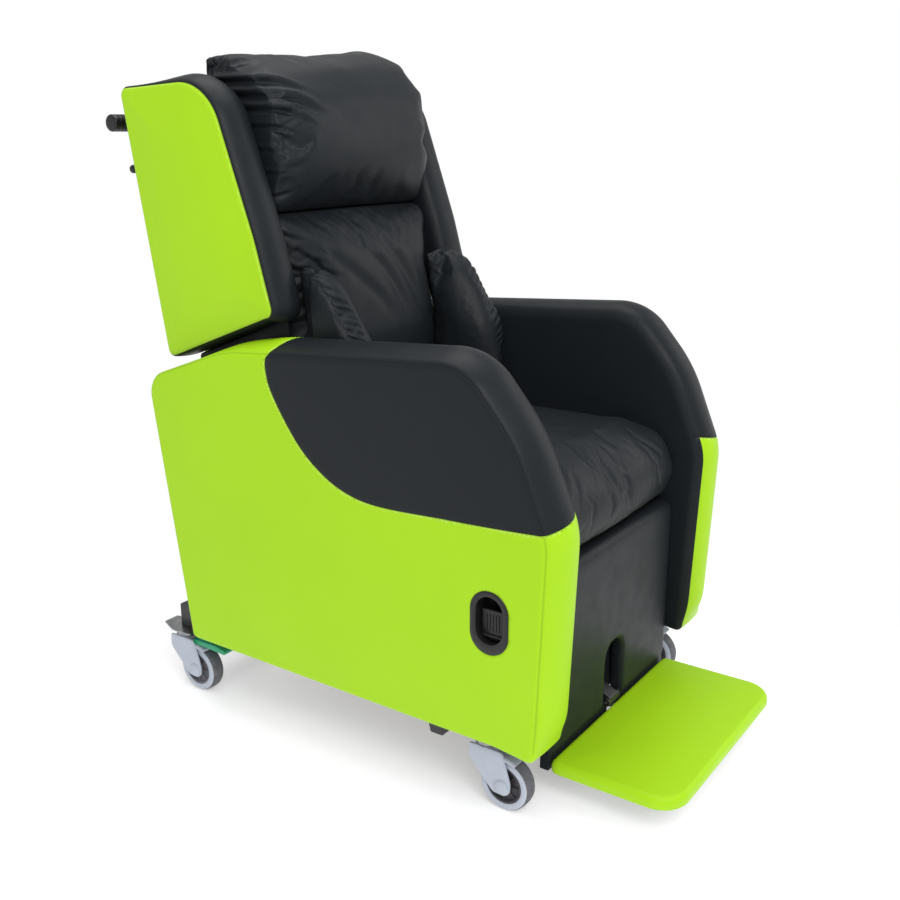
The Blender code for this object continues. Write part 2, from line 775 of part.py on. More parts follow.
def foot_hinge():
    """Leaf under the footplate with two ears that rise to the hinge pin."""
    y, z = FOOT_HINGE
    bottom = FOOT_TOP - FOOT_THICK - GAP
    strip = box((-0.060, -0.600, bottom - 0.0040), (0.060, -0.4255, bottom))
    leaf = add("foot_hinge", strip, "black_steel", footplate)
    corners = [
        (y, bottom - 0.0030, 0.001),
        (y, z - 0.0080, 0.001),
        (y - 0.0075, z - 0.0080, 0.005),
        (y - 0.0075, z + 0.0080, 0.007),
        (y + 0.0080, z + 0.0080, 0.007),
        (y + 0.0080, bottom - 0.0030, 0.001),
    ]
    ears = [slab(rounded(corners, 3), side * 0.0175, side * 0.0225) for side in SIDES.values()]
    join(leaf, *ears)
    return cut(leaf, bar_x(-0.030, 0.030, FOOT_HINGE, 0.0033))


def foot_pin():
    """Pin through the footplate's hinge."""
    return add("foot_pin", bar_x(-0.0250, 0.0250, FOOT_HINGE, 0.0030), "zinc_steel", footplate)


def footplate_pad():
    """Upholstered footplate with wide round front corners."""
    corners = [
        (0.2485, -0.4340, 0.010),
        (0.2485, -0.6825, 0.055),
        (-0.2485, -0.6825, 0.055),
        (-0.2485, -0.4340, 0.010),
    ]
    # The outline is drawn as (x, y) points; this turn lays it flat, its thickness upward.
    plate = slab(rounded(corners, 5), FOOT_TOP - FOOT_THICK, FOOT_TOP)
    turn_mesh(plate, ((0, 1, 0, 0), (0, 0, 1, 0), (1, 0, 0, 0), (0, 0, 0, 1)))
    piece = add("footplate", plate, "lime_vinyl", footplate)
    soften = piece.modifiers.new("Bevel", "BEVEL")
    soften.width = 0.009
    soften.segments = 2
    soften.limit_method = "ANGLE"
    soften.angle_limit = radians(60)
    return piece


# ---------------------------------------------------------------- gas springs


def gas_spring(name, rear_y, front_y, height, rod_tip, rod_axis, lug_y):
    """A gas spring along Y under the deck: its tube is fixed to the chassis, its rod slides."""
    barrel = rod((0, rear_y, height), (0, front_y, height), 0.0110)
    tube = add(f"{name}_spring_tube", barrel, "black_steel", datum)
    join(tube, box((-0.006, lug_y - 0.010, height - 0.004), (0.006, lug_y + 0.010, 0.3950)))
    forward = 1 if front_y > rear_y else -1
    cut(tube, rod((0, rear_y + forward * 0.012, height), (0, front_y + forward * 0.01, height), 0.0056))
    inner_end = front_y - forward * 0.020
    shaft = rod((0, inner_end, height), (0, rod_tip, height), 0.0050)
    piston = add(f"{name}_spring_rod", shaft, "zinc_steel", rod_axis)
    join(piston, bar_x(-0.0070, 0.0070, (rod_tip, height), 0.0080))


# ---------------------------------------------------------------- castors


def castor_plate(label, x, y):
    """Fixed top plate with the swivel housing below it."""
    rear = y + (0.056 if y > 0 else 0.034)
    flange = box((x - 0.027, y - 0.034, PLATE_TOP - 0.004), (x + 0.027, rear, PLATE_TOP))
    plate = add(f"castor_plate_{label}", flange, "zinc_steel", datum)
    join(plate, rod((x, y, 0.1192), (x, y, PLATE_TOP - 0.002), 0.0230, 16))
    return cut(plate, rod((x, y, 0.1150), (x, y, 0.1270), 0.0053))


def castor_fork(label, x, y, body, braked):
    """Fork with a head under the swivel, two legs to the axle and a guard over the wheel."""
    crown = box((x - 0.0225, y - 0.028, 0.1065), (x + 0.0225, y + 0.027, 0.1187))
    fork = add(f"castor_fork_{label}", crown, "castor_grey", body)
    leg = [
        (0.0285, 0.1180, 0.004),
        (0.0300, 0.0880, 0.020),
        (-0.0340, 0.0370, 0.012),
        (-0.0500, 0.0400, 0.012),
        (-0.0540, 0.0560, 0.012),
        (-0.0520, 0.1180, 0.010),
    ]
    outline = rounded([(y + u, v, radius) for u, v, radius in leg], 2)
    guard = []
    for radius, turns in ((0.0565, range(6)), (0.0525, range(5, -1, -1))):
        for k in turns:
            turn = radians(35 + 12 * k)
            guard.append((y - TRAIL - radius * cos(turn), WHEEL_R + radius * sin(turn)))
    pieces = [slab(outline, x + side * 0.0185, x + side * 0.0228) for side in SIDES.values()]
    pieces.append(slab(guard, x - 0.0205, x + 0.0205))
    pieces.append(rod((x, y, 0.1100), (x, y, 0.1262), 0.0050))
    join(fork, *pieces)
    bores = [bar_x(x - 0.030, x + 0.030, (y - TRAIL, WHEEL_R), 0.0043)]
    if braked:
        bores.append(bar_x(x - 0.030, x + 0.030, (y - TRAIL, 0.1135), 0.0028, 10))
    return cut(fork, *bores)


def castor_axle(label, x, y, body):
    """Axle bolt through the fork and the wheel."""
    place = (y - TRAIL, WHEEL_R)
    axle = add(f"castor_axle_{label}", bar_x(x - 0.0250, x + 0.0250, place, 0.0040), "zinc_steel", body)
    heads = [bar_x(x + side * 0.0231, x + side * 0.0262, place, 0.0068, 6) for side in SIDES.values()]
    return join(axle, *heads)


def castor_wheel(label, x, y, body, hub_finish):
    """Wheel core and the tyre on it."""
    place = (x, y - TRAIL, WHEEL_R)
    core = [(0.0045, 0.0165), (0.0115, 0.0165), (0.0130, 0.0110), (0.0310, 0.0110), (0.0365, 0.0140)]
    core += [(radius, -across) for radius, across in reversed(core)]
    turned(f"castor_hub_{label}", core, place, hub_finish, body)
    tread = [(0.0368, 0.0140), (0.0450, 0.0150), (WHEEL_R, 0.0080)]
    tread += [(radius, -across) for radius, across in reversed(tread)]
    turned(f"castor_tyre_{label}", tread, place, "tyre_grey", body)


def brake_pedal(label, x, y, body):
    """Green pedal in front of a rear castor's fork, pressed down to lock the wheel."""
    corners = [
        (-0.0330, 0.1090, 0.002),
        (-0.0330, 0.1185, 0.003),
        (-0.1000, 0.1210, 0.012),
        (-0.1300, 0.1150, 0.004),
        (-0.1260, 0.1060, 0.003),
        (-0.0800, 0.1085, 0.004),
    ]
    outline = rounded([(y + u, v, radius) for u, v, radius in corners], 3)
    pedal = add(f"brake_pedal_{label}", slab(outline, x - 0.0175, x + 0.0175), "pedal_green", body)
    return join(pedal, bar_x(x - 0.0222, x + 0.0222, (y - TRAIL, 0.1135), 0.0025, 10))


def castor(label, x, y, braked):
    """One castor: plate on the chassis, fork on the swivel, wheel on the fork."""
    swivel = make_pivot(f"swivel_axis_{label}", (x, y, PLATE_TOP), datum)
    wheel = make_pivot(f"wheel_axis_{label}", (x, y - TRAIL, WHEEL_R), swivel)
    castor_plate(label, x, y)
    castor_fork(label, x, y, swivel, braked)
    castor_axle(label, x, y, swivel)
    castor_wheel(label, x, y, wheel, "castor_grey" if braked else "hub_dark")
    if braked:
        pedal = make_pivot(f"brake_axis_{label}", (x, y - TRAIL, 0.1135), swivel)
        brake_pedal(label, x, y, pedal)


# ---------------------------------------------------------------- assembly

chassis_frame()
seat_deck()
seat_cushion()
back_frame()
back_board()
rear_cover()
back_cushion()
head_cushion()
push_bar()
release_bar()
legrest_frame()
legrest_board()
legrest_pad()
foot_hanger()
foot_hinge()
foot_pin()
footplate_pad()
gas_spring("recline", 0.065, 0.185, 0.3817, 0.2867, recline_rod_axis, 0.0725)
gas_spring("legrest", -0.185, -0.300, 0.3640, -0.3799, legrest_rod_axis, -0.1925)
for label, side in SIDES.items():
    recline_pin(label, side)
    near_arm = arm(label, side)
    if side < 0:
        cut(near_arm, slab(stadium(CUP, 0.0368, 0.0568), side * 0.3215, side * 0.400))
    side_board(label, side)
    wing(label, side)
    bolster(label, side)
    push_grip(label, side)
    release_knob(label, side)
release_cup()
release_paddle()
for label, (x, y, braked) in CASTORS.items():
    castor(label, x, y, braked)
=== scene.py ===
"""Looks of the patient recliner chair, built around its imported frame.

Everything is drawn in the chair's own datum coordinates: metres, +Z up, the sitter faces -Y, +X is the
sitter's left, and y is measured from midway between the castors. place() moves each piece to the row frame.
"""

from math import cos, pi, radians, sin, tan

import bmesh
import bpy
import numpy as np
from mathutils import Matrix, Vector
from mathutils.geometry import delaunay_2d_cdt


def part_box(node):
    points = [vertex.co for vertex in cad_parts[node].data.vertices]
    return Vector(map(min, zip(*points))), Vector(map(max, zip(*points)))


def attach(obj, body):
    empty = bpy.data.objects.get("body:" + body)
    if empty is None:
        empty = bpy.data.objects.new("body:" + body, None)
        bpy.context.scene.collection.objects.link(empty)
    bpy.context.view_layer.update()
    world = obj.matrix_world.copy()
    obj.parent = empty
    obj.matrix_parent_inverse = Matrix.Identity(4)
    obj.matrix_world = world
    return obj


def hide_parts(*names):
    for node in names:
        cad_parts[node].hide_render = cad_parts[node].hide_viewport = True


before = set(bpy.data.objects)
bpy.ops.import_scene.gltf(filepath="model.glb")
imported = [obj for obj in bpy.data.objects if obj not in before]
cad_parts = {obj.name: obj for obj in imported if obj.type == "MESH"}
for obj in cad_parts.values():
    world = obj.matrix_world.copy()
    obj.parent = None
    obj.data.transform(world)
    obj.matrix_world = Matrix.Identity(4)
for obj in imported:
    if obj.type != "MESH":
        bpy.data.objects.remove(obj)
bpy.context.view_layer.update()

# ---------------------------------------------------------------- sizes from the frame


def middle(node):
    low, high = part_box(node)
    return (low + high) / 2


REAR_SWIVEL = 0.426
TRAIL = 0.040
DATUM_Y = middle("castor_axle_rear_left").y + TRAIL - REAR_SWIVEL
SIDES = {"left": 1, "right": -1}

ARM_INNER, ARM_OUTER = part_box("arm_left")[0].x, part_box("arm_left")[1].x
WING_INNER, WING_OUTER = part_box("wing_left")[0].x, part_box("wing_left")[1].x
ARM_CROWN = 0.022
WING_CROWN = 0.016

REAR_Y = 0.402
REAR_Z = 0.723
LEAN = 0.1696
BOARD_DEPTH = 0.1305

CUP = (-0.376, 0.375)
PUSH_BAR = (0.545, 1.174)
RELEASE_PIVOT = (0.482, 1.080)
RELEASE_BAR = (0.510, 1.087)
WHEEL_R = 0.050
SEAM_HALF = 0.0018
SEAM_DEPTH = 0.0009


# ---------------------------------------------------------------- materials


class Nodes:
    """A material's node tree, with a short way to add and join nodes."""

    def __init__(self, name):
        self.material = bpy.data.materials.new(name)
        self.material.use_nodes = True
        self.tree = self.material.node_tree
        self.shader = self.tree.nodes["Principled BSDF"]
        self.place = self.add("ShaderNodeTexCoord").outputs["Object"]

    def add(self, kind, **values):
        node = self.tree.nodes.new(kind)
        for key, value in values.items():
            setattr(node, key, value)
        return node

    def join(self, out, into):
        self.tree.links.new(out, into)

    def noise(self, scale, detail=3.0, roughness=0.5, stretch=None):
        node = self.add("ShaderNodeTexNoise")
        node.inputs["Scale"].default_value = scale
        node.inputs["Detail"].default_value = detail
        node.inputs["Roughness"].default_value = roughness
        self.join(self.stretched(stretch), node.inputs["Vector"])
        return node.outputs["Fac"]

    def stretched(self, stretch):
        if stretch is None:
            return self.place
        node = self.add("ShaderNodeMapping")
        node.inputs["Scale"].default_value = stretch
        self.join(self.place, node.inputs["Vector"])
        return node.outputs["Vector"]

    def cells(self, scale):
        node = self.add("ShaderNodeTexVoronoi", feature="SMOOTH_F1")
        node.inputs["Scale"].default_value = scale
        self.join(self.place, node.inputs["Vector"])
        return node.outputs["Distance"]

    def remap(self, value, low, high, to_low, to_high):
        node = self.add("ShaderNodeMapRange")
        for socket, number in zip(node.inputs[1:5], (low, high, to_low, to_high)):
            socket.default_value = number
        self.join(value, node.inputs[0])
        return node.outputs[0]

    def mix(self, share, a, b):
        """Mixes two colours; each is a colour or a socket."""
        node = self.add("ShaderNodeMix", data_type="RGBA")
        self.join(share, node.inputs[0])
        for socket, colour in ((node.inputs[6], a), (node.inputs[7], b)):
            if isinstance(colour, tuple):
                socket.default_value = (*colour, 1.0)
            else:
                self.join(colour, socket)
        return node.outputs[2]

    def attribute(self, name):
        return self.add("ShaderNodeAttribute", attribute_name=name).outputs["Fac"]

    def bump(self, heights):
        """Bumps chained from (height socket, strength, distance) triples."""
        normal = None
        for height, strength, distance in heights:
            node = self.add("ShaderNodeBump")
            node.inputs["Strength"].default_value = strength
            node.inputs["Distance"].default_value = distance
            self.join(height, node.inputs["Height"])
            if normal:
                self.join(normal, node.inputs["Normal"])
            normal = node.outputs["Normal"]
        self.join(normal, self.shader.inputs["Normal"])

    def colour(self, out):
        self.join(out, self.shader.inputs["Base Color"])

    def rough(self, pattern, low, high):
        """Roughness between two values, following the middle of a pattern."""
        self.join(self.remap(pattern, 0.3, 0.7, low, high), self.shader.inputs["Roughness"])

    def set(self, **values):
        for key, value in values.items():
            self.shader.inputs[key.replace("_", " ")].default_value = value


def shade(colour, factor):
    return tuple(channel * factor for channel in colour)


def vinyl(name, colour, light, roughness, shine, bounce):
    """Coated upholstery vinyl: pebbled grain, faint mottle, painted shade in its seam grooves and a painted
    highlight along the lip beside a seam.
    The light that it throws onto other things has the plain bounce colour, so it doesn't tint the floor."""
    n = Nodes(name)
    mottle = n.remap(n.noise(5.0, 2.0), 0.3, 0.7, 0.0, 1.0)
    tint = n.mix(mottle, shade(colour, 0.985), shade(colour, 1.015))
    # Painted highlight: a lighter tint of the vinyl along the lip beside a seam
    piping_highlighted = n.mix(n.attribute("piping_highlight"), tint, light)
    # Painted shade: the vinyl is darkened in the seam grooves
    seam_shaded = n.mix(n.attribute("seam"), piping_highlighted, shade(colour, 0.45))
    bounced = n.add("ShaderNodeLightPath").outputs["Is Diffuse Ray"]
    n.colour(n.mix(bounced, seam_shaded, bounce))
    n.rough(n.noise(24.0, 3.0), roughness - 0.04, roughness + 0.05)
    sag, pebbles, pores = n.noise(30.0, 2.0), n.cells(620.0), n.noise(1500.0, 2.0)
    n.bump([(sag, 0.05, 0.002), (pebbles, 0.14, 0.0005), (pores, 0.08, 0.0003)])
    n.set(Specular_IOR_Level=shine)
    return n.material


def powder_coat(name, colour):
    """Powder-coated steel with a slight orange peel."""
    n = Nodes(name)
    n.colour(n.mix(n.noise(14.0), shade(colour, 0.8), shade(colour, 1.3)))
    n.rough(n.noise(60.0), 0.34, 0.50)
    n.bump([(n.noise(420.0, 2.0), 0.18, 0.0004)])
    n.set(Metallic=0.0, Specular_IOR_Level=0.55)
    return n.material


def zinc_plate(name):
    """Bright zinc plating with cloudy passivation and drawing marks."""
    n = Nodes(name)
    cloud = n.remap(n.noise(55.0, 4.0), 0.35, 0.65, 0.0, 1.0)
    n.colour(n.mix(cloud, (0.26, 0.27, 0.29), (0.40, 0.40, 0.39)))
    n.rough(n.noise(90.0), 0.22, 0.42)
    n.bump([(n.noise(500.0, 2.0, stretch=(0.1, 1.0, 1.0)), 0.10, 0.0003)])
    n.set(Metallic=1.0)
    return n.material


def plywood(name):
    """Birch plywood: long grain with darker streaks."""
    n = Nodes(name)
    grain = n.noise(42.0, 6.0, 0.65, stretch=(1.0, 0.06, 1.0))
    n.colour(n.mix(grain, (0.74, 0.56, 0.34), (0.50, 0.34, 0.18)))
    n.rough(grain, 0.50, 0.68)
    n.bump([(grain, 0.25, 0.0005)])
    return n.material


def moulded(name, colour, roughness):
    """Moulded plastic with a spark-eroded texture and a faint flow of tint."""
    n = Nodes(name)
    n.colour(n.mix(n.noise(18.0, 3.0), shade(colour, 0.88), shade(colour, 1.12)))
    n.rough(n.noise(120.0), roughness - 0.06, roughness + 0.06)
    n.bump([(n.noise(700.0, 2.0), 0.14, 0.0004)])
    n.set(Specular_IOR_Level=0.45)
    return n.material


def tread_rubber(name, colour):
    """Grey castor rubber, dusty and scuffed."""
    n = Nodes(name)
    dust = n.remap(n.noise(70.0, 5.0, 0.7), 0.45, 0.75, 0.0, 0.8)
    n.colour(n.mix(dust, colour, shade(colour, 1.7)))
    n.rough(n.noise(160.0), 0.62, 0.85)
    n.bump([(n.noise(300.0, 3.0), 0.25, 0.0005)])
    return n.material


def studio_floor(name):
    """White floor that catches the chair's shadow and glows to plain white away from it."""
    n = Nodes(name)
    n.colour(n.mix(n.noise(0.8), (0.93, 0.93, 0.93), (0.95, 0.95, 0.95)))
    n.set(Roughness=0.9, Specular_IOR_Level=0.1)
    n.set(Emission_Color=(1.0, 1.0, 1.0, 1.0), Emission_Strength=0.34)
    glow = n.add("ShaderNodeEmission")
    glow.inputs["Strength"].default_value = 1.0
    away = n.add("ShaderNodeVectorMath", operation="LENGTH")
    n.join(n.place, away.inputs[0])
    share = n.remap(away.outputs["Value"], 0.55, 1.15, 0.0, 1.0)
    mixed = n.add("ShaderNodeMixShader")
    n.join(share, mixed.inputs[0])
    n.join(n.shader.outputs[0], mixed.inputs[1])
    n.join(glow.outputs[0], mixed.inputs[2])
    n.join(mixed.outputs[0], n.tree.nodes["Material Output"].inputs["Surface"])
    return n.material


LIME = (0.410, 0.740, 0.008)
# Painted highlight colour: a lighter lime for the lip beside a seam
LIME_PIPING_HIGHLIGHT = (0.60, 0.87, 0.15)
LIME_BOUNCE = (0.30, 0.32, 0.28)
CHARCOAL = (0.0135, 0.0165, 0.0195)
# Painted highlight colour: a lighter charcoal for the lip beside a seam
CHARCOAL_PIPING_HIGHLIGHT = (0.060, 0.064, 0.068)
CHARCOAL_BOUNCE = (0.02, 0.02, 0.02)

FINISH = {
    "lime_vinyl": vinyl("lime_vinyl", LIME, LIME_PIPING_HIGHLIGHT, 0.46, 0.25, LIME_BOUNCE),
    "charcoal_vinyl": vinyl("charcoal_vinyl", CHARCOAL, CHARCOAL_PIPING_HIGHLIGHT, 0.42, 0.17, CHARCOAL_BOUNCE),
    "black_steel": powder_coat("black_steel", (0.018, 0.018, 0.020)),
    "zinc_steel": zinc_plate("zinc_steel"),
    "plywood": plywood("plywood"),
    "castor_grey": moulded("castor_grey", (0.48, 0.52, 0.60), 0.42),
    "tyre_grey": tread_rubber("tyre_grey", (0.105, 0.105, 0.120)),
    "hub_dark": moulded("hub_dark", (0.035, 0.033, 0.040), 0.50),
    "pedal_green": moulded("pedal_green", (0.015, 0.36, 0.17), 0.36),
    "black_plastic": moulded("black_plastic", (0.010, 0.010, 0.011), 0.33),
}


# ---------------------------------------------------------------- placing pieces


def place(name, mesh, body, slot, *nodes, second=None, sharp=None):
    """Makes a piece from a mesh in datum coordinates, on its body, in place of the nodes it stands for."""
    mesh.transform(Matrix.Translation((0, DATUM_Y, 0)))
    piece = bpy.data.objects.new(name, mesh)
    bpy.context.scene.collection.objects.link(piece)
    mesh.materials.append(FINISH[slot])
    if second:
        mesh.materials.append(FINISH[second])
    mesh.shade_smooth()
    if sharp:
        mesh.set_sharp_from_angle(angle=radians(sharp))
    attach(piece, body)
    if nodes:
        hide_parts(*nodes)
    return piece


def to_mesh(name, *shapes):
    """One mesh from several bmeshes, each with its faces pointing out."""
    whole = bmesh.new()
    for shape in shapes:
        bmesh.ops.recalc_face_normals(shape, faces=shape.faces)
        if shape.calc_volume(signed=True) < 0:
            bmesh.ops.reverse_faces(shape, faces=shape.faces)
        part = bpy.data.meshes.new("part")
        shape.to_mesh(part)
        shape.free()
        whole.from_mesh(part)
        bpy.data.meshes.remove(part)
    mesh = bpy.data.meshes.new(name)
    whole.to_mesh(mesh)
    whole.free()
    return mesh


def mirrored(shape, side):
    if side < 0:
        bmesh.ops.scale(shape, vec=(-1, 1, 1), verts=shape.verts)
        bmesh.ops.reverse_faces(shape, faces=shape.faces)
    return shape


# ---------------------------------------------------------------- outlines


def rounded(corners, steps=24):
    """Points round a polygon whose corners (u, v, radius) are rounded by arcs, as an array."""
    points = []
    for i, (u, v, radius) in enumerate(corners):
        here = Vector((u, v))
        before = (Vector(corners[i - 1][:2]) - here).normalized()
        after = (Vector(corners[(i + 1) % len(corners)][:2]) - here).normalized()
        half = before.angle(after) / 2
        centre = here + (before + after).normalized() * radius / sin(half)
        first = here + before * radius / tan(half) - centre
        last = here + after * radius / tan(half) - centre
        sweep = first.angle_signed(last)
        for k in range(steps + 1):
            points.append(centre + Matrix.Rotation(-sweep * k / steps, 2) @ first)
    points = np.array(points)
    area = (points[:, 0] * np.roll(points[:, 1], -1) - points[:, 1] * np.roll(points[:, 0], -1)).sum()
    return points if area > 0 else points[::-1]


def stadium(centre, half_width, half_height, steps=24):
    """Upright slot with half-round ends, counterclockwise."""
    u, v = centre
    turns = np.concatenate([np.linspace(0, pi, steps), np.linspace(pi, 2 * pi, steps)])
    rise = np.repeat([half_height - half_width, half_width - half_height], steps)
    return np.stack([u + half_width * np.cos(turns), v + rise + half_width * np.sin(turns)], 1)


def even(points, spacing):
    """A closed outline with its points spread evenly."""
    closed = np.vstack([points, points[:1]])
    reach = np.concatenate([[0], np.cumsum(np.linalg.norm(np.diff(closed, axis=0), axis=1))])
    wanted = np.linspace(0, reach[-1], max(int(reach[-1] / spacing), 12), endpoint=False)
    return np.stack([np.interp(wanted, reach, closed[:, k]) for k in (0, 1)], 1)


def outward(points):
    """Outward unit normals of a counterclockwise outline."""
    along = np.roll(points, -1, 0) - np.roll(points, 1, 0)
    along /= np.linalg.norm(along, axis=1)[:, None]
    return np.stack([along[:, 1], -along[:, 0]], 1)


def distance_to(path, points, closed=False):
    """Distance of each point to a polyline, and the signed side of its nearest stretch (left is positive)."""
    ends = np.vstack([path, path[:1]]) if closed else path
    best = np.full(len(points), 1e9)
    side = np.zeros(len(points))
    for a, b in zip(ends, ends[1:]):
        ab = b - a
        share = np.clip(((points - a) @ ab) / (ab @ ab), 0, 1)
        gap = points - a - share[:, None] * ab
        reach = np.linalg.norm(gap, axis=1)
        nearer = reach < best - 1e-9
        best = np.where(nearer, reach, best)
        turn = np.sign(ab[0] * gap[:, 1] - ab[1] * gap[:, 0])
        side = np.where(nearer, turn, side)
    return best, side


def inside(outline, points):
    """Which points lie inside a closed outline."""
    found = np.zeros(len(points), bool)
    for a, b in zip(outline, np.roll(outline, -1, 0)):
        if a[1] == b[1]:
            continue
        crosses = (a[1] > points[:, 1]) != (b[1] > points[:, 1])
        found ^= crosses & (points[:, 0] < a[0] + (points[:, 1] - a[1]) * (b[0] - a[0]) / (b[1] - a[1]))
    return found


def curve_through(points, count):
    """A smooth open curve through control points (Catmull-Rom)."""
    points = np.array(points, float)
    padded = np.vstack([2 * points[0] - points[1], points, 2 * points[-1] - points[-2]])
    made = []
    for i in range(len(points) - 1):
        a, b, c, d = padded[i : i + 4]
        for t in np.linspace(0, 1, count, endpoint=False):
            bend = 2 * a - 5 * b + 4 * c - d
            twist = 3 * b - a - 3 * c + d
            made.append(0.5 * (2 * b + (c - a) * t + bend * t**2 + twist * t**3))
    return np.array(made + [points[-1]])


def smooth_step(value, low, high):
    share = np.clip((value - low) / (high - low), 0, 1)
    return share * share * (3 - 2 * share)


# ---------------------------------------------------------------- padded slabs


def fill(outline, holes, spacing):
    """Triangles over the inside of an outline: (points, triangles, distance of each point to the outline)."""
    loops = [outline, *holes]
    low, high = outline.min(0), outline.max(0)
    rows = []
    for k, v in enumerate(np.arange(low[1], high[1], spacing * 0.87)):
        u = np.arange(low[0] + (k % 2) * spacing / 2, high[0], spacing)
        rows.append(np.stack([u, np.full_like(u, v)], 1))
    grid = np.vstack(rows)
    grid = grid[inside(outline, grid)]
    for loop in loops:
        grid = grid[distance_to(loop, grid, closed=True)[0] > spacing * 0.6]
    for hole in holes:
        grid = grid[~inside(hole, grid)]
    points = np.vstack([*loops, grid])
    edges, start = [], 0
    for loop in loops:
        count = len(loop)
        edges += [(start + k, start + (k + 1) % count) for k in range(count)]
        start += count
    result = delaunay_2d_cdt([Vector(p) for p in points], edges, [], 1, 1e-8)
    source = [ids[0] if ids else len(points) + k for k, ids in enumerate(result[3])]
    if max(source) >= len(points):
        raise ValueError("an outline crosses itself: its corners are tighter than the edge is round")
    triangles = np.array([[source[i] for i in face] for face in result[2]])
    for hole in holes:
        triangles = triangles[~inside(hole, points[triangles].mean(1))]
    return points, triangles, distance_to(outline, points, closed=True)[0]


def edge_profile(thick, radius_low, radius_high, steps=5, between=9):
    """(across, inset) stations over a slab's edge, from its low face to its high face."""
    turns = [pi / 2 * k / steps for k in range(steps + 1)]
    stations = [(radius_low * (1 - cos(t)), radius_low * (1 - sin(t))) for t in turns]
    start, end = radius_low, thick - radius_high
    stations += [(start + (end - start) * k / between, 0.0) for k in range(1, between)]
    stations += [(thick - radius_high * (1 - cos(t)), radius_high * (1 - sin(t))) for t in reversed(turns)]
    return stations


def padded_slab(
    outline, low, high, radii, crown=0.0, share=None, pillow=(0.0, 0.0), pocket=None, spacing=0.008, skew=1.0
):
    """A padded panel between two faces, drawn as (across, u, v). Its "rim" layer is the distance over the
    surface from the seam at the high face's edge, negative on the face. Pillow is how far each face rises
    in its middle, and a pocket is (hole outline, depth). A skew other than 1 moves the crown's peak."""
    thick = high - low
    normals = outward(outline)
    share = np.ones(len(outline)) if share is None else share
    stations = edge_profile(thick, *radii)
    places = []
    for across, inset in stations:
        bulge = crown * (1 - (2 * (across / thick) ** skew - 1) ** 2)
        places.append(outline - normals * (inset - bulge * share)[:, None])
    travel = [0.0]
    for (a, p), (b, q) in zip(stations, stations[1:]):
        travel.append(travel[-1] + ((b - a) ** 2 + (q - p) ** 2) ** 0.5)
    seam_at = travel[-1] - radii[1] * pi / 4
    shape = bmesh.new()
    rim = shape.verts.layers.float.new("rim")
    rings = []
    for (across, _), points, reach in zip(stations, places, travel):
        ring = [shape.verts.new((low + across, *point)) for point in points]
        for vert in ring:
            vert[rim] = seam_at - reach
        rings.append(ring)
    count = len(outline)
    for ring, after in zip(rings, rings[1:]):
        for i in range(count):
            j = (i + 1) % count
            shape.faces.new((ring[i], ring[j], after[j], after[i]))
    for face, turn in ((0, -1), (-1, 1)):
        ring, flat, puff = rings[face], places[face], pillow[face]
        holes = [pocket[0]] if pocket and face else []
        points, triangles, reach = fill(flat, holes, spacing)
        heights = (high if face else low) + turn * puff * (1 - np.exp(-((reach / 0.05) ** 1.5)))
        verts = list(ring)
        for k in range(count, len(points)):
            vert = shape.verts.new((heights[k], *points[k]))
            vert[rim] = seam_at - travel[-1] - reach[k] if face else seam_at + reach[k]
            verts.append(vert)
        for triangle in triangles:
            shape.faces.new([verts[k] for k in triangle])
        if holes:
            mouth = verts[count : count + len(holes[0])]
            floor = [shape.verts.new((high - pocket[1], *point)) for point in holes[0]]
            for i in range(len(mouth)):
                shape.faces.new((mouth[i], mouth[i - 1], floor[i - 1], floor[i]))
            shape.faces.new(floor)
    bmesh.ops.recalc_face_normals(shape, faces=shape.faces)
    return shape


def slice_at(shape, layer, level, snap=0.0002):
    """Cuts the faces along one level of a vertex layer."""
    for vert in shape.verts:
        if abs(vert[layer] - level) < snap:
            vert[layer] = level
    crossing = [e for e in shape.edges if (e.verts[0][layer] - level) * (e.verts[1][layer] - level) < 0]
    touched = set()
    for edge in crossing:
        a, b = edge.verts
        vert = bmesh.utils.edge_split(edge, a, (level - a[layer]) / (b[layer] - a[layer]))[1]
        vert[layer] = level
        touched.update(vert.link_faces)
    for face in touched:
        on = [v for v in face.verts if v[layer] == level]
        if len(on) != 2:
            continue
        joined = any(e.other_vert(on[0]) is on[1] for e in on[0].link_edges if e in face.edges)
        if not joined:
            bmesh.utils.face_split(face, on[0], on[1])


def sew(shape, layer, where=None, dark=1.0, piping_highlight=0):
    """Presses a seam groove along a layer's zero level and marks the groove for painted shade. Its last
    argument, +1 or -1, gives that side of the groove a painted highlight line.
    """
    levels = [-SEAM_HALF, 0.0, SEAM_HALF]
    if piping_highlight:
        levels.append(piping_highlight * 2.4 * SEAM_HALF)
    for level in levels:
        slice_at(shape, layer, level)
    seam = shape.verts.layers.float.get("seam") or shape.verts.layers.float.new("seam")
    light = shape.verts.layers.float.get("piping_highlight") or shape.verts.layers.float.new("piping_highlight")
    shape.normal_update()
    pressed = []
    for vert in shape.verts:
        share = 1 - abs(vert[layer]) / SEAM_HALF
        if where is None or where(vert):
            if share > 0:
                pressed.append((vert, share))
            # Painted highlight: a light line on the lip beside the groove
            if piping_highlight and abs(vert[layer] - piping_highlight * SEAM_HALF) < 1e-6:
                vert[light] = 0.7
    for vert, share in pressed:
        vert.co -= vert.normal * SEAM_DEPTH * share
        # Painted shade: the groove is marked to darken the vinyl
        vert[seam] = max(vert[seam], share * dark)


def coords(shape):
    return np.array([v.co for v in shape.verts])


def set_layer(shape, name, values):
    layer = shape.verts.layers.float.new(name)
    for vert, value in zip(shape.verts, values):
        vert[layer] = float(value)
    return layer


# ---------------------------------------------------------------- arms and wings

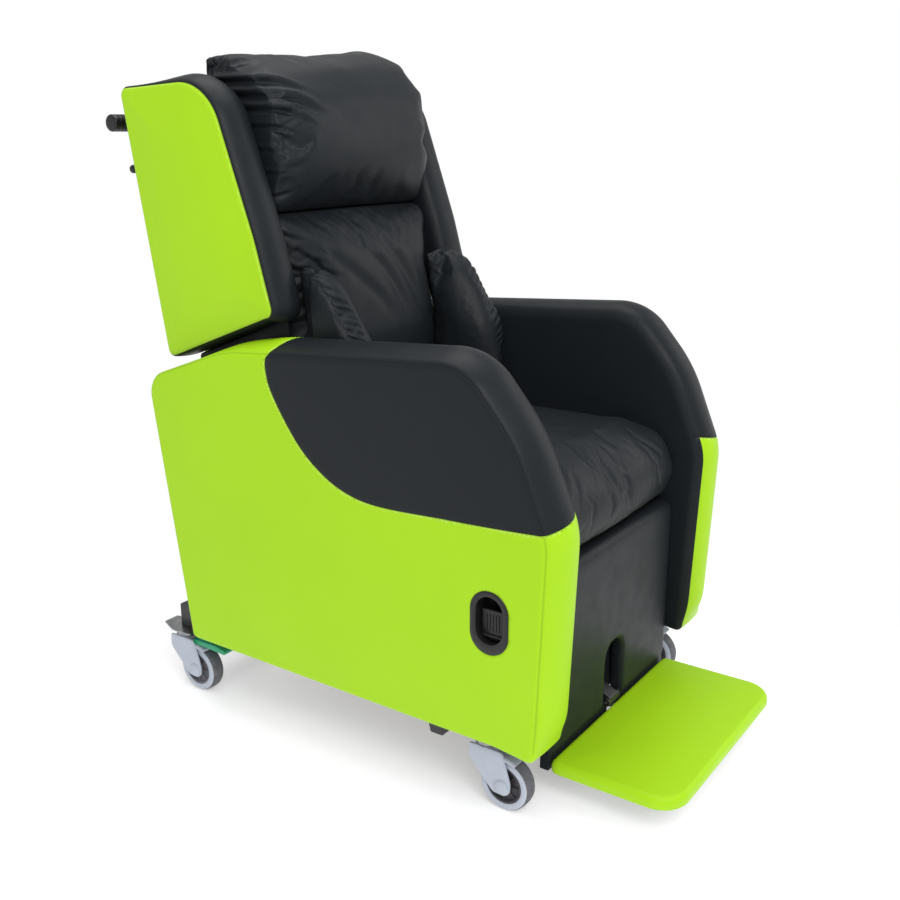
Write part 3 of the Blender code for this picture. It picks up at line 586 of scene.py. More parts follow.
ARM_CORNERS = (
    (0.3545, 0.1465, 0.014),
    (0.4340, 0.690, 0.050),
    (0.2190, 0.767, 0.350),
    (-0.3180, 0.802, 0.100),
    (-0.4150, 0.690, 0.300),
    (-0.4800, 0.535, 0.120),
    (-0.4645, 0.1325, 0.014),
    (-0.3850, 0.1418, 0.200),
)
COLOUR_SEAM = (
    (0.090, 0.830),
    (0.099, 0.786),
    (0.110, 0.752),
    (0.088, 0.692),
    (0.009, 0.592),
    (-0.105, 0.538),
    (-0.296, 0.540),
    (-0.476, 0.548),
    (-0.540, 0.550),
)
WING_CORNERS = (
    (0.4085, 0.723, 0.016),
    (0.4970, 1.240, 0.018),
    (0.2600, 1.249, 0.105),
    (0.1600, 0.970, 0.400),
    (0.1215, 0.834, 0.020),
)


def arm_share(points, normals):
    """How much of the crown each stretch of the arm's edge has: all of it on top and in front, none below."""
    up = smooth_step(normals[:, 1], -0.05, 0.40)
    front = smooth_step(-normals[:, 0], 0.2, 0.9) * smooth_step(points[:, 1], 0.14, 0.20)
    rear_fade = np.clip((0.30 - points[:, 0]) / 0.20, 0.15, 1.0)
    return np.maximum(up * rear_fade, front)


def arm_cover(label, side):
    """Upholstered arm: charcoal over the rest, lime below, with a seam where its outer face turns over."""
    outline = even(rounded(ARM_CORNERS), 0.006)
    share = arm_share(outline, outward(outline))
    kernel = np.hanning(15) / np.hanning(15).sum()
    share = np.convolve(np.concatenate([share[-7:], share, share[:7]]), kernel, "valid")
    pocket = (stadium(CUP, 0.0345, 0.0545), 0.036) if side < 0 else None
    radii, pillow = (0.013, 0.009), (0.0, 0.003)
    shape = padded_slab(outline, ARM_INNER, ARM_OUTER, radii, ARM_CROWN, share, pillow, pocket, skew=0.85)
    points = coords(shape)
    path = curve_through(COLOUR_SEAM, 10)
    inward = np.clip((ARM_OUTER - points[:, 0]) / (ARM_OUTER - ARM_INNER), 0, 1)
    front_rise = 0.020 * inward * smooth_step(-points[:, 1], 0.30, 0.44)
    drift = 0.028 * inward * smooth_step(points[:, 2], 0.70, 0.78)
    flat = np.stack([points[:, 1] + drift, points[:, 2] - front_rise], 1)
    reach, turn = distance_to(path, flat)
    tone = set_layer(shape, "tone", reach * turn)
    rim = shape.verts.layers.float["rim"]
    outer_edge = lambda v: v.co.z > 0.16 and (v.co.y < -0.40 or v.co.z > 0.62 or v.co.y > 0.34)
    # The outer edge seam's groove gets painted shade
    sew(shape, rim, outer_edge, dark=0.45)
    on_cover = lambda v: v.co.x > ARM_INNER + 0.004
    # The colour seam's groove gets painted shade, and its lime side gets a painted highlight line
    sew(shape, tone, on_cover, dark=0.8, piping_highlight=1)
    for face in shape.faces:
        centre = face.calc_center_median()
        value = sum(v[tone] for v in face.verts) / len(face.verts)
        face.material_index = 1 if value < 0 or centre.x < ARM_INNER + 0.010 else 0
    mesh = to_mesh("arm_cover", mirrored(shape, side))
    return place(f"arm_cover_{label}", mesh, "chassis", "lime_vinyl", f"arm_{label}", second="charcoal_vinyl")


def wing_share(points, normals):
    """The wing's edge is crowned in front and on top, and the top's crown dies away toward the rear."""
    top = smooth_step(normals[:, 1], 0.1, 0.6) * smooth_step(-points[:, 0], -0.475, -0.300)
    return np.maximum(top, smooth_step(-normals[:, 0], 0.2, 0.7))


def wing_cover(label, side):
    """Wing beside the back: a lime outer panel seamed to a charcoal edge and inner face."""
    outline = even(rounded(WING_CORNERS), 0.005)
    share = wing_share(outline, outward(outline))
    radii, pillow = (0.014, 0.010), (0.0, 0.007)
    shape = padded_slab(outline, WING_INNER, WING_OUTER, radii, WING_CROWN, share, pillow, spacing=0.007)
    rim = shape.verts.layers.float["rim"]
    # The edge seam's groove gets painted shade, and its lime side gets a painted highlight line
    sew(shape, rim, piping_highlight=-1)
    for face in shape.faces:
        face.material_index = 0 if sum(v[rim] for v in face.verts) < 0 else 1
    mesh = to_mesh("wing_cover", mirrored(shape, side))
    return place(f"wing_cover_{label}", mesh, "back", "lime_vinyl", f"wing_{label}", second="charcoal_vinyl")


def side_skirt(label, side):
    """Dark side of the back below the wing, between the rear cover and the bolster."""
    corners = [(y, z, 0.008) for y, z in ((0.148, 0.645), (0.383, 0.645), (0.395, 0.7248), (0.148, 0.8226))]
    shape = padded_slab(even(rounded(corners), 0.006), 0.2372, 0.2528, (0.003, 0.004), pillow=(0.0, 0.0008))
    mesh = to_mesh("side_skirt", mirrored(shape, side))
    return place(f"side_skirt_{label}", mesh, "back", "charcoal_vinyl")


for label, side in SIDES.items():
    arm_cover(label, side)
    wing_cover(label, side)
    side_skirt(label, side)


# ---------------------------------------------------------------- rear cover and footplate


def rear_cover():
    """Padded panel that closes the back, leaning with it."""
    half, bottom, top, thick = 0.2345, 0.560, 1.245, 0.022
    rise = (top - bottom) * (1 + LEAN**2) ** 0.5
    corners = [(u, v, 0.020) for u, v in ((-half, 0), (half, 0), (half, rise), (-half, rise))]
    outline = even(rounded(corners), 0.007)
    shape = padded_slab(outline, 0.0, thick, (0.006, 0.007), pillow=(0.0, 0.004), spacing=0.009)
    # The edge seam's groove gets painted shade
    sew(shape, shape.verts.layers.float["rim"])
    foot = REAR_Y + (bottom - REAR_Z) * LEAN
    lean = Vector((0, LEAN, 1)).normalized()
    back = Vector((0, 1, -LEAN)).normalized()
    for vert in shape.verts:
        across, u, v = vert.co
        vert.co = Vector((u, foot, bottom)) + lean * v + back * (across - thick)
    return place("rear_panel", to_mesh("rear_panel", shape), "back", "lime_vinyl", "rear_cover")


def upright_strip(front, rear, low, high, radius):
    """Corners of a rectangle drawn in (y, z)."""
    return [(y, z, radius) for y, z in ((front, low), (front, high), (rear, high), (rear, low))]


def back_top():
    """Dark strip that closes the top of the back between the rear cover and the board."""
    low, high = 1.236, 1.244
    rear = REAR_Y + (high - REAR_Z) * LEAN - 0.0235
    outline = even(rounded(upright_strip(rear - 0.0930, rear, low, high, 0.0035)), 0.003)
    shape = padded_slab(outline, -0.2300, 0.2300, (0.003, 0.003), spacing=0.003)
    return place("back_top", to_mesh("back_top", shape), "back", "charcoal_vinyl")


def footplate_cover():
    """Padded footplate with wide round front corners."""
    half, rear, front = 0.2485, -0.4340, -0.6790
    corners = ((half, rear, 0.015), (half, front, 0.055), (-half, front, 0.055), (-half, rear, 0.015))
    outline = even(rounded(corners), 0.005)
    shape = padded_slab(outline, 0.051, 0.077, (0.008, 0.011), pillow=(0.0, 0.0035))
    for vert in shape.verts:
        height, x, y = vert.co
        vert.co = (x, y, height)
    return place("footplate_cover", to_mesh("footplate_cover", shape), "foot_rest", "lime_vinyl", "footplate")


rear_cover()
back_top()
footplate_cover()


# ---------------------------------------------------------------- cushions


def evaluated(obj):
    graph = bpy.context.evaluated_depsgraph_get()
    return bpy.data.meshes.new_from_object(obj.evaluated_get(graph))


def temporary(mesh):
    obj = bpy.data.objects.new("temporary", mesh)
    bpy.context.scene.collection.objects.link(obj)
    return obj


def with_modifier(mesh, kind, **values):
    """The mesh after one modifier."""
    obj = temporary(mesh)
    change = obj.modifiers.new("change", kind)
    for key, value in values.items():
        setattr(change, key, value)
    made = evaluated(obj)
    bpy.data.objects.remove(obj)
    return made


def points_of(mesh):
    found = np.empty(len(mesh.vertices) * 3)
    mesh.vertices.foreach_get("co", found)
    return found.reshape(-1, 3)


def normals_of(mesh):
    found = np.empty(len(mesh.vertices) * 3)
    mesh.vertices.foreach_get("normal", found)
    return found.reshape(-1, 3)


def set_points(mesh, points):
    mesh.vertices.foreach_set("co", np.ascontiguousarray(points, np.float32).ravel())
    mesh.update()


def foam_block(node, voxel, shrink, shrink_z=None):
    """The CAD solid of a cushion, a little smaller, as an even voxel mesh with softened edges."""
    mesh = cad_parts[node].data.copy()
    mesh.materials.clear()
    points = points_of(mesh) - (0, DATUM_Y, 0)
    centre = (points.min(0) + points.max(0)) / 2
    half = (points.max(0) - points.min(0)) / 2
    less = np.array([shrink, shrink, shrink if shrink_z is None else shrink_z])
    set_points(mesh, centre + (points - centre) * (1 - less / half))
    mesh = with_modifier(mesh, "REMESH", mode="VOXEL", voxel_size=voxel)
    return with_modifier(mesh, "SMOOTH", factor=0.6, iterations=8)


def swell(mesh, pinned, pressure, slack, cap):
    """Blows the cover up like stuffed cloth: pinned vertices stay, and no point moves further than cap."""
    rest = points_of(mesh)
    obj = temporary(mesh)
    group = obj.vertex_groups.new(name="pinned")
    group.add([int(i) for i in np.flatnonzero(pinned)], 1.0, "REPLACE")
    cloth = obj.modifiers.new("cloth", "CLOTH")
    settings = cloth.settings
    settings.quality = 4
    settings.mass = 0.3
    settings.tension_stiffness = 12
    settings.compression_stiffness = 12
    settings.shear_stiffness = 4
    settings.bending_stiffness = 0.3
    settings.use_pressure = True
    settings.uniform_pressure_force = pressure
    settings.shrink_min = -slack
    settings.vertex_group_mass = "pinned"
    settings.effector_weights.gravity = 0
    cloth.collision_settings.use_collision = False
    cloth.point_cache.frame_start = 1
    cloth.point_cache.frame_end = 20
    for step in range(1, 21):
        bpy.context.scene.frame_set(step)
    made = evaluated(obj)
    bpy.data.objects.remove(obj)
    bpy.context.scene.frame_set(1)
    move = points_of(made) - rest
    length = np.linalg.norm(move, axis=1)
    move *= np.minimum(1, cap / np.maximum(length, 1e-9))[:, None]
    set_points(made, rest + move)
    return made


def lean_depth(points):
    """How far each point is in front of the leaning rear face."""
    return REAR_Y + (points[:, 2] - REAR_Z) * LEAN - points[:, 1]


def keep_forward(points):
    """Holds points off the back board."""
    short = np.maximum(BOARD_DEPTH - lean_depth(points), 0)
    points[:, 1] -= short
    return points


def crease(points, path, width, depth):
    """Displacement of a fold along a path drawn in (x, z): a valley, a raised lip above it, fading out toward
    its last point.
    """
    flat = points[:, (0, 2)]
    reach, turn = distance_to(path, flat)
    ends = np.linalg.norm(flat - path[-1], axis=1)
    length = np.linalg.norm(np.diff(path, axis=0), axis=1).sum()
    fade = smooth_step(ends, 0, length * 0.6)
    valley = -depth * np.exp(-((reach / width) ** 2))
    lip = 0.6 * depth * np.exp(-(((reach * turn - 2.0 * width) / (1.2 * width)) ** 2))
    return (valley + lip) * fade


def finish_cushion(name, mesh, node, body, marks=()):
    """One subdivision, the folds as (route, width, depth), and the piece in place."""
    mesh = with_modifier(mesh, "SUBSURF", levels=1, render_levels=1)
    points, normals = points_of(mesh), normals_of(mesh)
    forward = smooth_step(0.5 * normals[:, 0] * np.sign(points[:, 0]) - normals[:, 1], -0.2, 0.3)
    for route, width, depth in marks:
        fold = crease(points, curve_through(route, 8), width, depth)
        points += normals * (fold * forward)[:, None]
    set_points(mesh, points)
    return place(name, mesh, body, "charcoal_vinyl", node)


def seat_cushion():
    """Seat between the arms, pinned where it rests on its deck."""
    mesh = foam_block("seat_cushion", 0.006, 0.006)
    rest = points_of(mesh)
    bottom, half_width, rear = rest[:, 2].min(), 0.2548, 0.228
    mesh = swell(mesh, rest[:, 2] < bottom + 0.010, 4.0, 0.01, 0.022)
    points = points_of(mesh)
    points[:, 0] = np.clip(points[:, 0], -half_width, half_width)
    points[:, 1] = np.minimum(points[:, 1], rear)
    points[:, 2] = np.maximum(points[:, 2], bottom - 0.004)
    set_points(mesh, points)
    return finish_cushion("seat_pad", mesh, "seat_cushion", "chassis")


# Folds drawn in (x, z): the route, how wide it is and how deep
LUMBAR_FOLDS = (
    (((-0.025, 0.985), (0.060, 0.888), (0.145, 0.735)), 0.0150, 0.0036),
    (((-0.075, 0.962), (0.016, 0.871), (0.092, 0.730)), 0.0140, 0.0034),
    (((-0.140, 0.925), (-0.036, 0.843), (0.030, 0.765)), 0.0130, 0.0028),
    (((0.030, 0.990), (0.096, 0.919), (0.148, 0.820)), 0.0120, 0.0024),
    (((-0.228, 0.914), (-0.205, 0.903), (-0.170, 0.897)), 0.0050, 0.0034),
    (((-0.175, 0.916), (-0.160, 0.898), (-0.120, 0.884)), 0.0050, 0.0034),
    (((-0.228, 0.972), (-0.205, 0.962), (-0.180, 0.958)), 0.0050, 0.0028),
    (((-0.205, 0.940), (-0.185, 0.925), (-0.150, 0.915)), 0.0050, 0.0024),
)
HEAD_FOLDS = (
    (((-0.236, 1.246), (-0.195, 1.244), (-0.135, 1.226)), 0.0050, 0.0064),
    (((-0.236, 1.220), (-0.180, 1.214), (-0.105, 1.184)), 0.0056, 0.0076),
    (((-0.236, 1.196), (-0.200, 1.190), (-0.150, 1.164)), 0.0046, 0.0054),
    (((-0.236, 1.166), (-0.216, 1.161), (-0.186, 1.146)), 0.0040, 0.0032),
    (((-0.236, 1.124), (-0.220, 1.121), (-0.200, 1.112)), 0.0038, 0.0022),
    (((-0.236, 1.082), (-0.222, 1.082), (-0.204, 1.080)), 0.0038, 0.0020),
    (((-0.236, 1.040), (-0.220, 1.044), (-0.196, 1.054)), 0.0040, 0.0024),
    (((-0.236, 1.266), (-0.205, 1.280), (-0.150, 1.292)), 0.0058, 0.0052),
    (((-0.150, 1.300), (-0.110, 1.284), (-0.080, 1.262)), 0.0080, 0.0022),
)
HEAD_STITCH = (((-0.192, 1.208), (-0.188, 1.160), (-0.186, 1.110), (-0.188, 1.040)), 0.0024, 0.0008)


def lumbar_cushion():
    """Full-width cushion at the lower back, with long soft wrinkles that run down to the sitter's left."""
    half_width, top = 0.2345, 1.0075
    mesh = foam_block("back_cushion", 0.005, 0.004, 0.0005)
    behind = lean_depth(points_of(mesh)) < BOARD_DEPTH + 0.012
    mesh = swell(mesh, behind, 4.0, 0.03, 0.024)
    points = keep_forward(points_of(mesh))
    points[:, 0] = np.clip(points[:, 0], -half_width, half_width)
    points[:, 2] = np.minimum(points[:, 2], top)
    set_points(mesh, points)
    return finish_cushion("lumbar_pad", mesh, "back_cushion", "back", LUMBAR_FOLDS)


def head_cushion():
    """Pillow at head height: its top sinks to a folded corner on the right, where the cover is gathered,
    and its cover is smooth toward the left."""
    half_width, bottom, top = 0.2335, 1.0095, 1.324
    mesh = foam_block("head_cushion", 0.005, 0.004, 0.0005)
    behind = lean_depth(points_of(mesh)) < BOARD_DEPTH + 0.014
    mesh = swell(mesh, behind, 4.0, 0.03, 0.026)
    points = points_of(mesh)
    calm = points_of(with_modifier(mesh, "SMOOTH", factor=0.6, iterations=14))
    points += (calm - points) * smooth_step(points[:, 0], -0.10, 0.04)[:, None]
    points = keep_forward(points)
    points[:, 0] = np.clip(points[:, 0], -half_width, half_width)
    points[:, 2] = np.clip(points[:, 2], bottom, top)
    sunk = 0.027 * np.clip((0.16 - points[:, 0]) / 0.392, 0, 1) ** 0.85
    points[:, 2] -= sunk * smooth_step(points[:, 2], 1.12, 1.30)
    near_board = 1 - smooth_step(lean_depth(points), BOARD_DEPTH + 0.010, BOARD_DEPTH + 0.050)
    corner = smooth_step(-points[:, 0], 0.195, 0.232) * smooth_step(points[:, 2], 1.24, 1.28)
    points[:, 2] += 0.014 * corner * near_board
    set_points(mesh, points)
    return finish_cushion("head_pad", mesh, "head_cushion", "head_rest", (*HEAD_FOLDS, HEAD_STITCH))


def gathers(points, normals):
    """Displacement of the pleats beside a bolster's front seam: narrow valleys that run inward and fade."""
    inward = 0.250 - np.abs(points[:, 0])
    travel = points[:, 2] + 0.40 * inward + 0.0035 * np.sin(points[:, 2] * 61.0)
    comb = (0.5 + 0.5 * np.cos(2 * pi * travel / 0.0150)) ** 2
    band = smooth_step(inward, 0.004, 0.010) * (1 - smooth_step(inward, 0.026, 0.050))
    reach = 0.7 + 0.3 * np.sin(points[:, 2] * 97.0)
    seam = np.exp(-(((inward - 0.004) / 0.0025) ** 2))
    facing = smooth_step(np.maximum(-normals[:, 1], normals[:, 2]), 0.1, 0.5)
    tall = smooth_step(points[:, 2], 0.68, 0.74)
    return -(0.0042 * comb * band * reach + 0.0022 * seam) * facing * tall


def bolster_pad(label, side):
    """Wedge beside the lumbar cushion, gathered along its outer front seam and held clear of the wing."""
    mesh = foam_block(f"bolster_{label}", 0.004, 0.003)
    rest = points_of(mesh)
    behind = rest[:, 1] > 0.0945 + 0.10 * (rest[:, 2] - 0.60)
    mesh = swell(mesh, behind, 3.0, 0.02, 0.010)
    mesh = with_modifier(mesh, "SUBSURF", levels=1, render_levels=1)
    points, normals = points_of(mesh), normals_of(mesh)
    points += normals * gathers(points, normals)[:, None]
    reach = points[:, 0] * side
    beside_wing = (reach > 0.2357) & (points[:, 2] > 0.790)
    ahead = beside_wing & (points[:, 1] < 0.100)
    points[ahead, 1] = np.minimum(points[ahead, 1], 0.0935)
    limit = np.where(beside_wing & ~ahead, 0.2350, 0.2538)
    points[:, 0] = side * np.clip(reach, 0.160, limit)
    set_points(mesh, points)
    return place(f"bolster_pad_{label}", mesh, "back", "charcoal_vinyl", f"bolster_{label}")


def legrest_cover():
    """The leg rest's pad, dark strips that line its notch beside the bracket, and a valance below it."""
    mesh = foam_block("legrest_pad", 0.005, 0.0005)
    finish_cushion("legrest_cover", mesh, "legrest_pad", "leg_rest")
    strips = []
    lining = (-0.4060, -0.4042, 0.088, 0.212, 0.0172, 0.060)
    valance = (-0.4320, -0.4140, 0.054, 0.092, 0.0245, 0.2450)
    for side in SIDES.values():
        for front, rear, low, high, inner, outer in (lining, valance):
            outline = even(rounded(upright_strip(front, rear, low, high, 0.0004)), 0.002)
            strips.append(mirrored(padded_slab(outline, inner, outer, (0.0003, 0.0003), spacing=0.002), side))
    place("legrest_lining", to_mesh("legrest_lining", *strips), "leg_rest", "charcoal_vinyl")


seat_cushion()
lumbar_cushion()
head_cushion()
for label, side in SIDES.items():
    bolster_pad(label, side)
legrest_cover()


# ---------------------------------------------------------------- turned and moulded parts


def revolve(profile, centre, steps=64):
    """A closed (x, radius) profile turned about a line along X through a (y, z) centre; x is absolute."""
    shape = bmesh.new()
    rings = []
    for x, radius in profile:
        if radius < 1e-6:
            rings.append([shape.verts.new((x, *centre))])
            continue
        turns = [2 * pi * k / steps for k in range(steps)]
        ring = [(x, centre[0] + radius * cos(t), centre[1] + radius * sin(t)) for t in turns]
        rings.append([shape.verts.new(point) for point in ring])
    pairs = list(zip(rings, rings[1:]))
    if len(rings[0]) > 1 or len(rings[-1]) > 1:
        pairs.append((rings[-1], rings[0]))
    for a, b in pairs:
        for k in range(steps):
            j = (k + 1) % steps
            face = [a[k % len(a)], a[j % len(a)], b[j % len(b)], b[k % len(b)]]
            kept = [v for i, v in enumerate(face) if v is not face[i - 1]]
            if len(kept) > 2:
                shape.faces.new(kept)
    return shape


def turned_upright(profile, x, y):
    """A closed (z, radius) profile turned about the vertical line at x, y."""
    shape = revolve(profile, (0.0, 0.0))
    shape.transform(Matrix.Translation((x, y, 0)) @ Matrix.Rotation(-pi / 2, 4, "Y"))
    return shape


def bar(x_a, x_b, centre, radius, steps=40, soften=0.2):
    """A round bar along X with softened ends, as a closed profile of revolution."""
    low, high = min(x_a, x_b), max(x_a, x_b)
    edge = radius * soften
    turns = [pi / 2 * k / 4 for k in range(5)]
    profile = [(low, 0.0)]
    profile += [(low + edge * (1 - cos(t)), radius - edge * (1 - sin(t))) for t in turns]
    profile += [(high - edge * (1 - cos(t)), radius - edge * (1 - sin(t))) for t in reversed(turns)]
    return revolve(profile + [(high, 0.0)], centre, steps)


def rod(start, end, radius, steps=40, soften=0.2):
    """A round bar between any two points."""
    start, end = Vector(start), Vector(end)
    along = end - start
    shape = bar(0.0, along.length, (0.0, 0.0), radius, steps, soften)
    turn = Vector((1, 0, 0)).rotation_difference(along).to_matrix().to_4x4()
    shape.transform(Matrix.Translation(start) @ turn)
    return shape


def push_bar():
    """Bar across the back on two arms, with a grommet where each arm leaves the rear cover."""
    y, z = PUSH_BAR
    cover_y = REAR_Y + (z - REAR_Z) * LEAN
    arms = [side * 0.2085 for side in SIDES.values()]
    shapes = [bar(-0.299, 0.299, PUSH_BAR, 0.0120)]
    shapes += [rod((x, cover_y - 0.085, z), (x, y, z), 0.0100) for x in arms]
    place("push_rail", to_mesh("push_rail", *shapes), "back", "black_steel", "push_bar")
    rings = [rod((x, cover_y - 0.004, z), (x, cover_y + 0.007, z), 0.0165, soften=0.3) for x in arms]
    place("push_rail_grommets", to_mesh("push_rail_grommets", *rings), "back", "black_plastic")


def push_grip(label, side):
    """Ribbed grip with a domed end cap."""
    start, end, radius = 0.226, 0.306, 0.0165
    profile = [(start, 0.0125), (start, radius - 0.002), (start + 0.001, radius)]
    ribs, first, pitch, floor = 11, start + 0.006, 0.0052, radius - 0.0014
    for k in range(ribs):
        x = first + k * pitch
        profile += [(x, radius), (x + 0.0008, floor), (x + 0.0022, floor), (x + 0.0030, radius)]
    profile += [(0.2925, radius), (0.2935, radius - 0.0016), (0.2950, radius - 0.0016), (0.2960, radius)]
    turns = [pi / 2 * k / 6 for k in range(7)]
    profile += [(end - 0.004 + 0.004 * sin(t), radius - 0.004 + 0.004 * cos(t)) for t in turns]
    profile += [(end, 0.0), (0.2995, 0.0), (0.2995, 0.0125)]
    shape = revolve([(side * x, r) for x, r in profile], PUSH_BAR)
    mesh = to_mesh("push_handgrip", shape)
    place(f"push_handgrip_{label}", mesh, "back", "black_plastic", f"push_grip_{label}", sharp=40)


def release_bar():
    """Thin bar squeezed up to recline the back, on two levers, with a knob at each end."""
    y, z = RELEASE_BAR
    shapes = [bar(-0.2845, 0.2845, RELEASE_BAR, 0.0045)]
    for side in SIDES.values():
        shapes.append(rod((side * 0.139, *RELEASE_PIVOT), (side * 0.139, y, z), 0.0040))
        shapes.append(bar(side * 0.1255, side * 0.143, RELEASE_PIVOT, 0.0040))
    place("release_lever", to_mesh("release_lever", *shapes), "recline_release", "black_steel", "release_bar")
    for label, side in SIDES.items():
        knob = bar(side * 0.274, side * 0.293, RELEASE_BAR, 0.0082, soften=0.6)
        mesh = to_mesh("release_end", knob)
        place(f"release_end_{label}", mesh, "recline_release", "black_plastic", f"release_knob_{label}")


push_bar()
release_bar()
for label, side in SIDES.items():
    push_grip(label, side)


def ring_loft(rings):
    """A closed shape through equal rings of points."""
    shape = bmesh.new()
    made = [[shape.verts.new(p) for p in ring] for ring in rings]
    for a, b in zip(made, made[1:]):
        for i in range(len(a)):
            j = (i + 1) % len(a)
            shape.faces.new((a[i], a[j], b[j], b[i]))
    shape.faces.new(made[0])
    shape.faces.new(made[-1])
    return shape


def release_cup():
    """Oval cup let into the right arm: a broad flange, wider below, round a deep finger well."""
    wall = ARM_OUTER
    stations = [
        (wall - 0.0372, 0.0340, 0.0),
        (wall - 0.0005, 0.0345, 0.0),
        (wall + 0.0008, 0.0372, 0.0),
        (wall + 0.0018, 0.0378, 0.0),
        (wall + 0.0034, 0.0372, 0.0),
        (wall + 0.0042, 0.0355, 0.0),
        (wall + 0.0042, 0.0290, 0.0030),
        (wall + 0.0034, 0.0270, 0.0040),
        (wall + 0.0005, 0.0262, 0.0040),
        (wall - 0.0120, 0.0258, 0.0030),
        (wall - 0.0300, 0.0255, 0.0010),
        (wall - 0.0335, 0.0225, 0.0),
        (wall - 0.0345, 0.0150, 0.0),
    ]
    y, z = CUP
    rings = []
    for x, half_width, rise in stations:
        rings.append([(-x, *p) for p in stadium((y, z + rise), half_width, half_width + 0.020 - rise)])
    mesh = to_mesh("release_well", ring_loft(rings))
    place("release_well", mesh, "chassis", "black_plastic", "release_cup", sharp=60)
    half, low, high = 0.0235, z - 0.037, z + 0.018
    corners = [(y - half, low, 0.021), (y + half, low, 0.021)]
    corners += [(y + half, high, 0.004), (y - half, high, 0.004)]
    outline = even(rounded(corners), 0.0015)
    plate = padded_slab(outline, 0.3435, 0.3485, (0.0012, 0.0018), pillow=(0.0, 0.0016), spacing=0.003)
    shapes = [mirrored(plate, -1)]
    for k in range(5):
        across = y - 0.0120 + 0.0060 * k
        shapes.append(rod((-0.3492, across, z - 0.020), (-0.3492, across, z + 0.010), 0.0009, 10))
    foot = bar(0.0, 0.039, (0.0, 0.0), 0.0035)
    foot.transform(Matrix.Translation((0.349, y - 0.0195, z - 0.029)) @ Matrix.Rotation(pi / 2, 4, "Z"))
    mesh = to_mesh("release_flap", *shapes, mirrored(foot, -1))
    place("release_flap", mesh, "paddle", "black_plastic", "release_paddle", sharp=50)


release_cup()


# ---------------------------------------------------------------- castors

# Sections of the castors: (across, radius) of the hood and bosses, (z, radius) of what turns about the
# swivel, and (radius, half width) of the tread and core
BOSS = ((0.0215, 0.0), (0.0215, 0.0140), (0.0242, 0.0140), (0.0262, 0.0125), (0.0272, 0.0095), (0.0272, 0.0))
HOOD = (
    (-0.0215, 0.0520), (-0.0215, 0.0560), (-0.0190, 0.0585), (0.0, 0.0592),
    (0.0190, 0.0585), (0.0215, 0.0560), (0.0215, 0.0520),
)
HEAD = ((0.1062, 0.0), (0.1062, 0.0235), (0.1150, 0.0250), (0.1180, 0.0240), (0.1188, 0.0225), (0.1188, 0.0))
HOUSING = (
    (0.1192, 0.0), (0.1192, 0.0205), (0.1210, 0.0228), (0.1250, 0.0230),
    (0.1275, 0.0215), (0.1290, 0.0205), (0.1290, 0.0),
)
TREAD = (
    (0.0345, 0.0130), (0.0360, 0.0150), (0.0400, 0.0160), (0.0440, 0.0158),
    (0.0472, 0.0142), (0.0492, 0.0110), (0.0500, 0.0060), (0.0500, 0.0),
)
CORE = (
    (0.0046, 0.0165), (0.0105, 0.0165), (0.0120, 0.0145), (0.0125, 0.0105), (0.0280, 0.0100),
    (0.0300, 0.0125), (0.0315, 0.0150), (0.0350, 0.0152), (0.0362, 0.0140),
)


def castor_fork(label, x, y):
    """Fork moulding: swivel head, two legs that slant back to bosses over the axle, and a hood."""
    leg = (
        (0.0285, 0.1180, 0.004),
        (0.0300, 0.0900, 0.020),
        (-0.0220, 0.0350, 0.015),
        (-0.0560, 0.0330, 0.015),
        (-0.0570, 0.0600, 0.012),
        (-0.0400, 0.1180, 0.010),
    )
    outline = even(rounded([(y + u, v, r) for u, v, r in leg]), 0.002)
    shapes = []
    for side in SIDES.values():
        shape = padded_slab(outline, 0.0185, 0.0228, (0.0006, 0.0016), pillow=(0.0, 0.0008), spacing=0.005)
        mirrored(shape, side)
        bmesh.ops.translate(shape, vec=(x, 0, 0), verts=shape.verts)
        shapes.append(shape)
        boss = [(x + side * across, radius) for across, radius in BOSS]
        shapes.append(revolve(boss, (y - TRAIL, WHEEL_R)))
    hood = []
    for k in range(25):
        turn = radians(62 + 44 * k / 24)
        ring = []
        for across, radius in HOOD:
            ring.append((x + across, y - TRAIL - radius * cos(turn), WHEEL_R + radius * sin(turn)))
        hood.append(ring)
    shapes.append(ring_loft(hood))
    shapes.append(turned_upright(HEAD, x, y))
    mesh = to_mesh("castor_yoke", *shapes)
    place(f"castor_yoke_{label}", mesh, f"fork_{label}", "castor_grey", f"castor_fork_{label}", sharp=35)


def wheel_profile(section, x):
    """Both halves of a (radius, half width) section, as (x, radius)."""
    profile = [(x + across, radius) for radius, across in section]
    return profile + [(x - across, radius) for radius, across in reversed(section) if across > 0]


def two_tone(mesh, hub, limit):
    """Gives the second material to the faces nearer to the hub than a limit."""
    for face in mesh.polygons:
        _, y, z = face.center
        radius = ((y - hub[0]) ** 2 + (z - hub[1]) ** 2) ** 0.5
        face.material_index = 1 if radius < limit else 0


def castor_wheel(label, x, y, braked):
    """Wheel: rounded rubber tread on a dished core with a raised ring and ribs."""
    hub = (y - TRAIL, WHEEL_R)
    wheel = f"wheel_{label}"
    mesh = to_mesh("castor_tread", revolve(wheel_profile(TREAD, x), hub, 96))
    # Light grey sides and a dark grey tread band: partly the wheel's own two colours, partly painted shade on
    # the tread, which faces away from the light
    two_tone(mesh, hub, 0.0480)
    tyre = f"castor_tyre_{label}"
    place(f"castor_tread_{label}", mesh, wheel, "tyre_grey", tyre, second="castor_grey", sharp=50)
    shapes = [revolve(wheel_profile(CORE, x), hub, 96)]
    for k in range(8):
        turn = 2 * pi * k / 8
        for side in SIDES.values():
            ends = []
            for radius in (0.0120, 0.0300):
                ends.append((x + side * 0.0115, hub[0] + radius * cos(turn), hub[1] + radius * sin(turn)))
            shapes.append(rod(*ends, 0.0016, 10))
    mesh = to_mesh("castor_core", *shapes)
    if braked:
        two_tone(mesh, hub, 0.0335)
    slot = "castor_grey" if braked else "hub_dark"
    dished = "tyre_grey" if braked else None
    place(f"castor_core_{label}", mesh, wheel, slot, f"castor_hub_{label}", second=dished, sharp=35)


